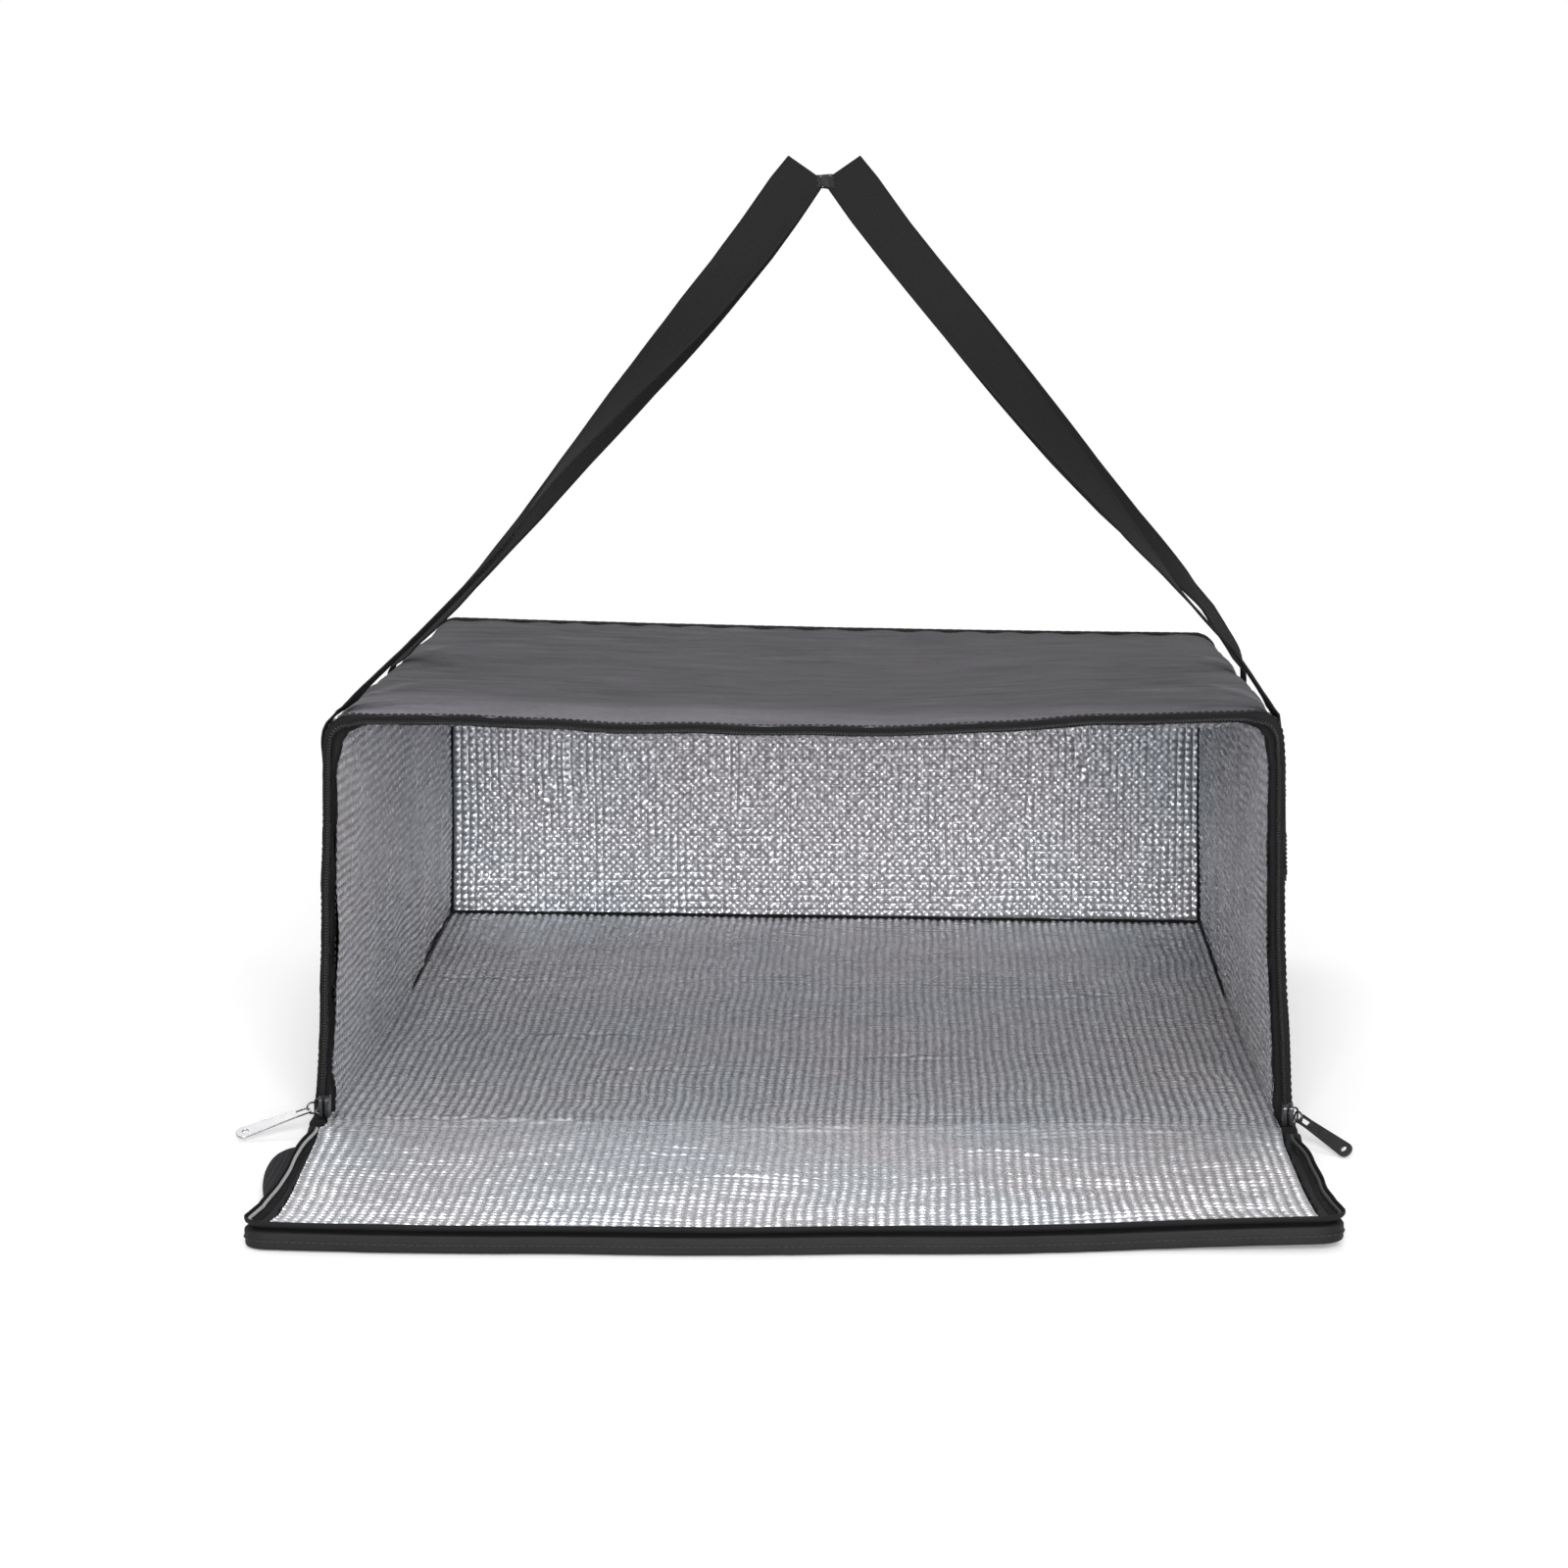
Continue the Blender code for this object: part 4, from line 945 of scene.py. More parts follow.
class DELIVERYBAG_OT_outer_cover(bpy.types.Operator):
    """Build the outer cloth: the sleeve over the sides and top, the back and the base."""

    bl_idname = "delivery_bag.outer_cover"
    bl_label = "Outer cover"

    def execute(self, context):
        places, outward, at = rim_path(0.0, 0.0, 0.0034)
        depth = np.linspace(FRONT_Y, BACK_Y, 150)
        relief = shell_relief(at[:, None], depth[None, :], at[-1])
        foot = np.minimum(at, at[-1] - at)
        relief = relief * rise(0.0, 0.03, foot)[:, None]
        points = settle(carry_mouth(places, outward, relief, depth[None, :]))
        sleeve = make_piece("outer_sleeve", points, grid_uv(at, depth), cloth_finish("charcoal_cloth"),
                            away_from=(0, 0, 0.05))
        fit_out(sleeve, "shell", "bag", "shell_sleeve", "foam_top", "foam_left", "foam_right")
        self.back_panel()
        self.base_panel()
        return {"FINISHED"}

    def back_panel(self):
        """The back: its width narrows with the corners' circle, and it bulges in a product of sines."""
        cloth = bpy.context.scene.delivery_bag_cloth
        height = np.linspace(0.0, 1.0, 70)
        height = 0.0005 + (HEIGHT - 0.0005) * np.sin(height * math.pi / 2) ** 1.02
        over = np.clip(height - (HEIGHT - CORNER_RADIUS), 0.0, CORNER_RADIUS)
        half = HALF_WIDTH - CORNER_RADIUS + np.sqrt(CORNER_RADIUS ** 2 - over ** 2)
        across = np.linspace(-1.0, 1.0, 150)
        x = across[None, :] * half[:, None]
        z = np.broadcast_to(height[:, None], x.shape)
        swell = 0.0035 * np.cos(across * math.pi / 2)[None, :] * np.sin(math.pi * height / HEIGHT)[:, None]
        relief = cloud(x, z, 0.090, 0.030, 21) + 0.5 * cloud(x, z, 0.030, 0.014, 22)
        border = np.minimum(1 - np.abs(across)[None, :], np.minimum(height, HEIGHT - height)[:, None] / 0.03)
        relief = cloth.wrinkle * relief * rise(0.0, 0.3, border)
        points = settle(np.stack([x, BACK_Y + swell + relief, z], -1))
        panel = cover_sheet("back_panel", points, x, z, (0, 0, 0.1))
        fit_out(panel, "shell", "bag", "shell_back", "foam_back")

    def base_panel(self):
        """The base: flat on the floor, with creases lower than half a millimetre."""
        x, y = np.linspace(-1.0, 1.0, 100), np.linspace(FOLD_START_Y, BACK_Y, 100)
        gx, gy = grid(x * HALF_WIDTH, y)
        z = 0.0003 + 0.0002 * (1 + cloud(gx, gy, 0.05, 0.03, 31))
        z = np.where(gy <= FOLD_START_Y, 0.0004, z)
        points = settle(np.stack([gx, gy, z], -1))
        panel = cover_sheet("base_panel", points, gx, gy, (0, 0, 1))
        fit_out(panel, "shell", "bag", "shell_base", "foam_base")


def foil_grid(long_count, wide_count, seed):
    """Nominal places on the foil at a third of the dimple pitch, the dimples' height there and the
    loose creases: the dimple is the product of two raised cosines."""
    foil = bpy.context.scene.delivery_bag_foil
    third = foil.pitch / 3
    u, v = grid(np.arange(long_count) * third, np.arange(wide_count) * third)
    long_wave, wide_wave = (0.5 + 0.5 * np.cos(2 * math.pi * part / foil.pitch) for part in (u, v))
    cells = np.random.default_rng(seed).uniform(0.55, 1.15, (long_count // 3 + 2, wide_count // 3 + 2))
    uneven = cells[np.round(u / foil.pitch).astype(int), np.round(v / foil.pitch).astype(int)]
    crease = cloud(u, v, 0.055, 0.070, seed) + 0.55 * cloud(u, v, 0.018, 0.060, seed + 1)
    crease = crease + 0.35 * cloud(u, v, 0.011, 0.024, seed + 2)
    return u, v, foil.height * (long_wave * wide_wave) * uneven, foil.crease * crease


def warp(u, v, seed):
    """How far the rows of dimples stray along and across the sheet."""
    return 0.0012 * cloud(u, v, 0.060, 0.045, seed) + 0.0003 * cloud(u, v, 0.016, 0.016, seed + 1)


def thirds(length):
    """How many foil samples a length takes."""
    return int(round(3 * length / bpy.context.scene.delivery_bag_foil.pitch)) + 1


class DELIVERYBAG_OT_foil_lining(bpy.types.Operator):
    """Build the dimpled foil: the floor that runs on over the fold into the flap, the sides, back and top."""

    bl_idname = "delivery_bag.foil_lining"
    bl_label = "Foil lining"

    def execute(self, context):
        self.floor_and_flap()
        self.side_walls()
        self.back_wall()
        self.ceiling()
        self.seams()
        return {"FINISHED"}

    def floor_and_flap(self):
        """One long sheet from the back wall to the flap's front, cut at the fold's start. It humps towards
        the back, is pressed flat at the fold, and is wider beside the fold at the left."""
        foil = bpy.context.scene.delivery_bag_foil
        inner, back, front = HALF_WIDTH - WALL, BACK_Y - WALL, FLAP_FRONT_Y + 0.006
        rows = thirds(back - FOLD_START_Y)
        more = thirds(FOLD_START_Y - front)
        u, v, dimple, crease = foil_grid(rows + more - 1, thirds(2 * inner), 41)
        step = (back - FOLD_START_Y) / (rows - 1)
        y = back - np.arange(rows + more - 1) * step
        x = np.linspace(-inner, inner, v.shape[1])
        gx, gy = np.broadcast_arrays(x[None, :], y[:, None])
        wall = rise(0.0, 0.02, inner - np.abs(gx)) * rise(0.0, 0.02, back - gy)
        fold = 1 - 0.85 * np.exp(-((gy - HINGE_Y) / 0.010) ** 2)
        hump = foil.floor_rise * rise(-0.10, back, gy) * (1 - 0.12 * gx / inner)
        wave = gy + 0.0016 * np.sin(gx / 0.0048) + 0.0030 * cloud(gx, gy, 0.012, 0.030, 44)
        ridges = 0.0
        for start, end in CREASES:
            wide, tall = FLOOR_CREASE if start[1] > FOLD_START_Y else FLAP_CREASE
            ridges = ridges + tall * fold_line(gx, wave, start, end, wide)
        loose = np.maximum(crease * wall * fold + 0.0008 * wall, -0.0004)
        z = WALL + hump + dimple + loose + 0.0017 * wall * ridges
        flat = wall * rise(0.0, 0.02, np.abs(gy - FOLD_START_Y))
        points = np.stack([gx + flat * warp(gx, gy, 45), gy + flat * warp(gy, gx, 47), z], -1)
        beside = (1 - rise(*NARROW_LIP, -0.2928 - gy)) * rise(0.0, 0.012, -0.2850 - gy)
        points[..., 0] -= 0.0034 * rise(0.225, inner, -gx) * beside
        inside = settle(points[:rows])
        outside = settle_flap(points[rows - 1:])
        outside[0] = inside[-1]
        floor = foil_sheet("floor", inside, u[:rows], v[:rows], (0, 0, -9))
        fit_out(floor, "liner", "bag", "liner_floor")
        flap = foil_sheet("flap", outside, u[rows - 1:], v[rows - 1:], (0, 0, -9))
        bend_out(flap, "liner", "bag", "flap", *FOLD, "flap_liner")

    def side_walls(self):
        """The left and right walls, which hang with the bag's sides and crease downwards."""
        front, back, top = LINING_FRONT, BACK_Y - WALL, HEIGHT - WALL
        for side, label in ((-1, "left"), (1, "right")):
            u, v, dimple, crease = foil_grid(thirds(back - front), thirds(top - WALL), 51 + side)
            gy, gz = grid(np.linspace(front, back, u.shape[0]), np.linspace(WALL, top, u.shape[1]))
            edge = rise(0.0, 0.02, np.minimum(np.minimum(gz - WALL, top - gz), back - gy))
            belly = 0.0014 * np.sin(math.pi * (gz - WALL) / (top - WALL))
            x = side * (HALF_WIDTH - WALL - (dimple + np.maximum(crease * edge, LINING_DIP) + belly))
            flat = edge * rise(0.0, 0.02, gy - front)
            y, z = gy + flat * warp(gy, gz, 55 + side), gz + flat * warp(gz, gy, 57 + side)
            wall = foil_sheet(label, settle(np.stack([x, y, z], -1)), u, v, (9 * side, 0, 0.1))
            fit_out(wall, "liner", "bag", f"liner_{label}")

    def back_wall(self):
        """The back wall, with two hanging folds near its corners as the photograph shows them."""
        inner, back, top = HALF_WIDTH - WALL, BACK_Y - WALL, HEIGHT - WALL
        u, v, dimple, crease = foil_grid(thirds(2 * inner), thirds(top - WALL), 61)
        gx, gz = grid(np.linspace(-inner, inner, u.shape[0]), np.linspace(WALL, top, u.shape[1]))
        edge = rise(0.0, 0.02, np.minimum(np.minimum(gz - WALL, top - gz), inner - np.abs(gx)))
        folds = sum(fold_line(gx, gz, *fold) for fold in BACK_FOLDS)
        off = dimple + np.maximum(crease * edge, LINING_DIP) - 0.0018 * folds + 0.0016 * edge
        points = np.stack([gx + edge * warp(gx, gz, 65), back - off, gz + edge * warp(gz, gx, 67)], -1)
        fit_out(foil_sheet("back", settle(points), u, v, (0, 9, 0.1)), "liner", "bag", "liner_back")

    def ceiling(self):
        """The lining under the top, which hangs a little lower than the board."""
        inner, front, back, top = HALF_WIDTH - WALL, LINING_FRONT, BACK_Y - WALL, HEIGHT - WALL
        u, v, dimple, crease = foil_grid(thirds(back - front), thirds(2 * inner), 71)
        gy, gx = grid(np.linspace(front, back, u.shape[0]), np.linspace(-inner, inner, u.shape[1]))
        edge = rise(0.0, 0.03, np.minimum(inner - np.abs(gx), np.minimum(back - gy, gy - front)))
        z = top - dimple - np.maximum(crease * edge, LINING_DIP) - 0.002 * edge
        points = settle(np.stack([gx, gy, z], -1))
        fit_out(foil_sheet("top", points, u, v, (0, 0, 9)), "liner", "bag", "liner_top")

    def seams(self):
        """Thin dark seams in the cavity's corners: a flat round-edged tape along each corner's line. The
        floor's own two run beside its rear half only and sink under the foil towards the front."""
        foil = bpy.context.scene.delivery_bag_foil
        inner, back, top = HALF_WIDTH - WALL - 0.0006, BACK_Y - WALL - 0.0006, HEIGHT - WALL
        rear_left, rear_right = WALL + 1.12 * foil.floor_rise, WALL + 0.88 * foil.floor_rise
        y = np.linspace(-0.010, back, 60)
        hump = foil.floor_rise * rise(-0.10, BACK_Y - WALL, y) - 0.0030 * (1 - rise(-0.010, 0.110, y))
        lines = {
            "back_foot": np.linspace((-inner, back - 0.0022, rear_left), (inner, back - 0.0022, rear_right),
                                     90),
            "back_left": np.linspace((-inner, back, rear_left), (-inner, back, top), 40),
            "back_right": np.linspace((inner, back, rear_right), (inner, back, top), 40),
            "floor_left": np.stack([np.full_like(y, -inner), y, WALL + 1.12 * hump], -1),
            "floor_right": np.stack([np.full_like(y, inner), y, WALL + 0.88 * hump], -1),
        }
        for label, line in lines.items():
            inwards = -np.sign(line[0, 0])
            away = {"back": (inwards, -1.0, 0.0), "floor": (inwards, 0.0, 1.0)}[label.split("_")[0]]
            away = np.array((0.0, -0.7, 0.7) if label == "back_foot" else away)
            away = away / np.linalg.norm(away)
            side = np.cross(unit(np.gradient(line, axis=0)), away)
            half = 0.0006 if "floor" in label else 0.0010
            a, b = round_profile(-half, half, 0.0006, 0.0026, 0.0004, 3)
            wander = 0.0004 * cloud(line[:, 0] + line[:, 2], line[:, 1], 0.02, 0.02, 77)
            points = line[:, None] + side[:, None] * (a[None, :, None] + wander[:, None, None]) \
                + away * b[None, :, None]
            add_tape(f"seam_{label}", settle(points), np.arange(len(line)) * 0.005, a, b, "black_tape", "bag")


class DELIVERYBAG_OT_flap_panel(bpy.types.Operator):
    """Build the flap's outer cloth, its taped rim and the half-moon tab."""

    bl_idname = "delivery_bag.flap_panel"
    bl_label = "Flap"

    def execute(self, context):
        self.cover()
        self.rim()
        self.tab()
        return {"FINISHED"}

    def cover(self):
        """Outer cloth from the fold to the rim: its width narrows with the front corners' circle."""
        y = np.linspace(FOLD_START_Y, FLAP_FRONT_Y + 0.0005, 110)
        over = np.clip(CORNER_RADIUS - (y - FLAP_FRONT_Y), 0.0, CORNER_RADIUS)
        half = HALF_WIDTH - CORNER_RADIUS + np.sqrt(CORNER_RADIUS ** 2 - over ** 2)
        gx = np.linspace(-1.0, 1.0, 130)[None, :] * half[:, None]
        gy = np.broadcast_to(y[:, None], gx.shape)
        z = 0.0004 + 0.0003 * (1 + cloud(gx, gy, 0.06, 0.03, 81)) * rise(0.0, 0.02, FOLD_START_Y - gy)
        points = settle_flap(np.stack([gx, gy, z], -1))
        cover = cover_sheet("flap_cover", points, gx, gy, (0, 0, 1))
        bend_out(cover, "shell", "bag", "flap", *FOLD, "flap_shell", "flap_foam")

    def rim(self):
        """Tape folded over the flap's three edges; its inner lips wander as sewn tape does, and the lip is
        narrower beside the fold at the left."""
        way = rim_path(0.0, 0.0092, 0.0025)
        places, outward, at = way
        a, b = round_profile(-BINDING_DEPTH, 0.0006, 0.0002, WALL + 0.0007, 0.0013, 4)
        lip = (a < -BINDING_DEPTH / 2).astype(float)
        wander = 0.0009 * cloud(at[:, None], b[None, :], 0.007, 0.004, 83)
        wander = wander + 0.0006 * np.sin(2 * math.pi * at / 0.005)[:, None]
        wander = wander + 0.0028 * (1 - rise(*NARROW_LIP, at))[:, None]
        plump = 0.0003 * cloud(at[:, None], b[None, :], 0.012, 0.003, 84)
        points = carry_flap(places, outward, a[None, :] + lip * wander + (1 - lip) * plump, b[None, :])
        add_tape("flap_rim", settle_flap(points), at, a, b, "dark_band", "flap", "flap_binding")
        sew_round("flap_rim_stitches", way, carry_flap, settle_flap, 0.00065, 0.0046, 0.0036, STITCH_RADIUS,
                  "flap")

    def tab(self):
        """Half-moon of webbing: its width is a half sine along the flap's left edge, and it curls up."""
        along, out = np.linspace(0.0, 1.0, 60), np.linspace(0.0, 1.0, 14)
        start, length, bulge = 0.0330, 0.142, 0.0130
        width = np.sin(math.pi * along) ** 0.70 * (1.08 - 0.45 * along)
        x = -HALF_WIDTH + 0.0020 - (bulge + 0.0045) * width[:, None] * out[None, :]
        y = np.broadcast_to((HINGE_Y + HINGE_Z - start - length * along)[:, None], x.shape)
        z = 0.0044 + 0.0045 * width[:, None] * out[None, :] ** 1.6
        z = z + 0.0008 * cloud(x, y, 0.012, 0.020, 91) * out[None, :]
        points = settle_flap(np.stack([x, y, z], -1))
        tab = make_piece("half_moon_tab", points, np.stack([y, -x], -1), cloth_finish("tab_webbing"),
                         away_from=(0, 0, -1))
        thick = tab.modifiers.new("Thickness", "SOLIDIFY")
        thick.thickness = 0.0016
        thick.offset = 0.0
        fit_out(tab, "webbing", "flap", "flap_tab")


class DELIVERYBAG_OT_edge_binding(bpy.types.Operator):
    """Build the tape round the mouth and beside the fold, and the piping round the back."""

    bl_idname = "delivery_bag.edge_binding"
    bl_label = "Edge binding"

    def execute(self, context):
        self.mouth()
        self.base_edges()
        self.piping()
        return {"FINISHED"}

    def mouth(self):
        """Tape folded over the wall's edge: a rounded rectangle carried round the mouth, whose inner lip
        wanders with the dimples that it is sewn over."""
        way = rim_path(0.0, 0.0005, 0.0025)
        places, outward, at = way
        a, b = round_profile(-WALL - 0.0004, 0.0006, FRONT_Y - 0.0006, FRONT_Y + BINDING_DEPTH, 0.0022, 5)
        inner = (a < -WALL / 2).astype(float)
        wander = 0.0009 * cloud(at[:, None], b[None, :], 0.012, 0.004, 85)
        wander = wander + 0.0006 * cloud(at[:, None], b[None, :], 0.0045, 0.004, 82)
        bend = 0.217
        corner = np.minimum(np.abs(at - bend), np.abs(at[-1] - at - bend))
        wander = wander + 0.0020 * np.exp(-(corner / 0.008) ** 2)[:, None]
        plump = 0.0003 * cloud(at[:, None], b[None, :], 0.014, 0.004, 86)
        points = carry_mouth(places, outward, a[None, :] - inner * wander + (1 - inner) * plump, b[None, :])
        add_tape("mouth_edge_tape", settle(points), at, a, b, "black_tape", "bag", "mouth_binding")
        for label, off, side in (("outer", 0.0008, 1), ("inner", -WALL - 0.0006, -1)):
            sew_round(f"mouth_{label}_stitches", way, carry_mouth, settle, off, FRONT_Y + STITCH_INSET,
                      0.0038, 0.00032, "bag", side)

    def base_edges(self):
        """The tape goes on along the base beside the fold, from the mouth to the hinge line."""
        for label in ("left", "right"):
            low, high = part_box(f"base_binding_{label}")
            a, b = round_profile(low.x - 0.0003, high.x + 0.0003, low.z + 0.0002, high.z + 0.0004, 0.0020, 4)
            y = np.linspace(low.y, high.y, 16)
            points = np.stack(np.broadcast_arrays(a[None, :], y[:, None], b[None, :]), -1)
            add_tape(f"base_edge_tape_{label}", settle(points), y, a, b, "black_tape", "bag",
                     f"base_binding_{label}")

    def piping(self):
        """Cloth-covered cord in the rear seam: a circle carried round the back, pinched at each stitch."""
        way = rim_path(-0.0004, 0.0016, 0.0022)
        places, outward, at = way
        turn = circle(10)
        pinch = 1 + 0.06 * np.sin(2 * math.pi * at / 0.0066)[:, None]
        pinch = pinch + 0.05 * cloud(at[:, None], turn[None, :], 0.03, 1.0, 87)
        points = carry_mouth(places, outward, PIPING_RADIUS * pinch * np.cos(turn)[None, :],
                             BACK_Y - PIPING_RADIUS + PIPING_RADIUS * pinch * np.sin(turn)[None, :])
        marks = grid_uv(at, np.linspace(0.0, 0.010, 11))
        pipe = make_piece("rear_seam_piping", settle(points), marks, cloth_finish("dark_band"), closed=True)
        fit_out(pipe, "binding", "bag", "rear_piping")
        sew_round("rear_seam_stitches", way, carry_mouth, settle, -0.0009, BACK_Y - STITCH_INSET, 0.0042,
                  STITCH_RADIUS, "bag")


class DELIVERYBAG_OT_zip(bpy.types.Operator):
    """Build the zip: woven tapes and wound coils round the mouth and the flap, and its metal fittings."""

    bl_idname = "delivery_bag.zip"
    bl_label = "Zip"

    def execute(self, context):
        self.mouth_side()
        self.flap_side()
        self.fittings()
        return {"FINISHED"}

    def mouth_side(self):
        """Tape that stands out of the mouth's edge tape, with the coil along its front."""
        teeth = bpy.context.scene.delivery_bag_zip
        places, outward, at = rim_path(TAPE_INSET, 0.0090, 0.0025)
        a, b = round_profile(-0.00038, 0.00038, MOUTH_TAPE_FRONT, FRONT_Y + 0.002, 0.0003, 2)
        sway = 0.0003 * cloud(at[:, None], b[None, :], 0.02, 0.02, 88)
        points = carry_mouth(places, outward, a[None, :] + sway, b[None, :])
        add_tape("mouth_zip_band", settle(points), at, a, b, "black_tape", "bag", "mouth_zip_tape")
        places, outward, at = rim_path(TAPE_INSET, COIL_BASE, 0.0020)
        path = settle(along_rim(carry_mouth, places, outward, 0.0, MOUTH_COIL_Y))
        out = np.stack([outward[:, 0], np.zeros(len(at)), outward[:, 1]], -1)
        front = np.broadcast_to([0.0, -1.0, 0.0], out.shape)
        nylon = hard_finish("black_nylon", teeth.mouth_color, 0.38, 0.0)
        add_coil("mouth_zip_teeth", path, out, front, COIL_RADIUS, nylon, "bag", "mouth_zip_coil")

    def flap_side(self):
        """Tape that stands up round the flap, leans outwards and covers the outer side of its coil."""
        teeth = bpy.context.scene.delivery_bag_zip

        def lean(at):
            """Leans outwards by the same few millimetres all round, less beside the fold."""
            side = np.minimum(at, at[-1] - at)
            return 0.0030 * rise(0.004, 0.05, side) + 0.0006 * cloud(at, at * 0, 0.03, 1.0, 89)

        places, outward, at = rim_path(TAPE_INSET, FLAP_ZIP_BASE, 0.0025)
        rows = np.linspace(WALL - 0.001, FLAP_COIL_Z + 0.0016, 12)
        a = np.concatenate([np.full(12, 0.00035), np.full(12, -0.00035)])
        b = np.concatenate([rows, rows[::-1]])
        a = a + 0.0019 * rise(FLAP_TAPE_TOP - 0.0014, FLAP_TAPE_TOP + 0.0006, b)
        up = np.clip((b - WALL) / (FLAP_COIL_Z - WALL), 0.0, 1.0)
        points = carry_flap(places, outward, a[None, :] + lean(at)[:, None] * up[None, :], b[None, :])
        add_tape("flap_zip_band", settle_flap(points), at, a, b, "black_tape", "flap", "flap_zip_tape")
        places, outward, at = rim_path(TAPE_INSET, FLAP_ZIP_BASE, 0.0020)
        path = settle_flap(along_rim(carry_flap, places, outward, lean(at), FLAP_COIL_Z))
        out = np.stack([outward[:, 0], -outward[:, 1], np.zeros(len(at))], -1)
        upward = np.broadcast_to([0.0, 0.0, 1.0], out.shape)
        # Grey as a painted highlight, darkening to the right as painted shade.
        nylon = hard_finish("grey_nylon", teeth.flap_coil_highlight_color, 0.36, 0.0, painted_fade=1.5)
        add_coil("flap_zip_teeth", path, out, upward, FLAP_COIL_RADIUS, nylon, "flap", "flap_zip_coil")

    def fittings(self):
        """Sliders, pulls and stops: the CAD shapes with softened edges, in enamel and metal."""
        teeth = bpy.context.scene.delivery_bag_zip
        enamel = hard_finish("black_enamel", teeth.slider_color, 0.30, 0.6, 0.4)
        bright = hard_finish("grey_metal", teeth.pull_color, 0.26, 1.0)
        dark = hard_finish("dark_metal", [0.20 * part for part in teeth.pull_color], 0.30, 0.9)
        for label, side, pull in (("left", -1, bright), ("right", 1, dark)):
            outward = Matrix.Translation(FITTING_SHIFT[side])
            self.soften(f"slider_{label}", f"slider_{label}", "slider", enamel, 0.00022, outward)
            self.soften(f"zip_stop_{label}", "bag", "slider", enamel, 0.00015, outward)
            loose, length = self.loose(side)
            self.soften(f"pull_{label}", f"pull_{label}", "pull", pull, 0.00025, loose)
            self.link(label, side, length, dark)

    def loose(self, side):
        """How a pull hangs on its ring: rolled about its own length, swung forwards, raised a little and
        moved out by the ring. Returns the movement and the direction from the slider to the tip."""
        droop = math.radians(PULL_DROOP)
        length = Vector((side * math.cos(droop), 0.0, -math.sin(droop)))
        pivot = Matrix.Translation((side * PULL_AXIS_X, SLIDER_Y, SLIDER_Z))
        raised = Matrix.Rotation(math.radians(-side * PULL_RAISE), 4, "Y")
        swung = Matrix.Rotation(math.radians(-side * PULL_SWING[side]), 4, "Z") @ raised
        turn = swung @ Matrix.Rotation(math.radians(side * PULL_ROLL[side]), 4, length)
        ahead = swung @ length
        away = Vector(FITTING_SHIFT[side]) + RING_REACH * ahead
        return Matrix.Translation(away) @ pivot @ turn @ pivot.inverted(), ahead

    def link(self, label, side, length, material):
        """A split ring of round wire between the slider's bridge and the pull's eye."""
        turn = np.linspace(math.radians(5), math.radians(355), 40)
        wire = circle(8)
        ahead = np.array(length)
        over = np.array([0.0, 0.0, 1.0]) - ahead * ahead[2]
        over /= np.linalg.norm(over)
        bridge = np.array([side * PULL_AXIS_X, SLIDER_Y, SLIDER_Z]) + FITTING_SHIFT[side]
        middle = bridge + RING_RADIUS * ahead
        radial = np.cos(turn)[:, None] * ahead + np.sin(turn)[:, None] * over
        points = middle + radial[:, None] * (RING_RADIUS + WIRE_RADIUS * np.cos(wire))[None, :, None] \
            + np.cross(ahead, over) * (WIRE_RADIUS * np.sin(wire))[None, :, None]
        marks = grid_uv(turn * RING_RADIUS, np.linspace(0.0, 0.0035, 9))
        ring = make_piece(f"pull_ring_{label}", points, marks, material, closed=True)
        fit_out(ring, "pull", f"pull_{label}")

    def soften(self, node, body, slot, material, width, turn=Matrix.Identity(4)):
        """A merged copy of a CAD node whose edges are rounded by a bevel."""
        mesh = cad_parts[node].data.copy()
        mesh.transform(turn)
        mesh.materials.clear()
        mesh.materials.append(material)
        shape = bmesh.new()
        shape.from_mesh(mesh)
        bmesh.ops.remove_doubles(shape, verts=shape.verts, dist=0.00001)
        bmesh.ops.dissolve_limit(shape, angle_limit=math.radians(1), verts=shape.verts, edges=shape.edges)
        bmesh.ops.recalc_face_normals(shape, faces=shape.faces)
        for face in shape.faces:
            face.smooth = True
            face.material_index = 0
        shape.to_mesh(mesh)
        shape.free()
        mesh.set_sharp_from_angle(angle=math.radians(30))
        obj = bpy.data.objects.new(f"{node}_metal", mesh)
        bpy.context.scene.collection.objects.link(obj)
        bevel = obj.modifiers.new("Edges", "BEVEL")
        bevel.width = width
        bevel.segments = 2
        bevel.limit_method = "ANGLE"
        fit_out(obj, slot, body, node)


def hang(points, side, toward=0):
    """Moves the straps sideways by the shift that is measured at each height; they hang off centre. The
    front and rear ones stray from it by bell curves of the height."""
    heights = points[..., 2]
    if side < 0:
        shift = np.interp(heights, LEFT_HEIGHTS, LEFT_SHIFT)
    else:
        shift = np.interp(heights, RIGHT_HEIGHTS, RIGHT_SHIFT)
    if toward > 0:
        draw, middle, out = FRONT_STRAY[side]
        shift = shift + draw * np.exp(-((heights - middle) / 0.034) ** 2)
        shift = shift + out * np.exp(-((heights - LOW_STRAY_HEIGHT) / 0.022) ** 2)
    elif toward < 0:
        away = np.exp(-((heights - 0.222) / 0.035) ** 2)
        shift = shift + away * (0.0032 * rise(0.195, 0.222, heights) if side > 0
                                else -0.0052 * rise(0.216, 0.236, heights))
    return points + shift[..., None] * np.array([1.0, 0.0, 0.0])


def strap_lean(anchor_y):
    """How high a strap's plane reaches from its root, and the angle by which it leans to the other strap."""
    run = abs(APEX_Y - anchor_y) - WEBBING_THICKNESS - APEX_GAP
    climb = APEX_HEIGHT - STRAP_AXIS_Z
    return math.hypot(run, climb), math.atan2(run, climb)


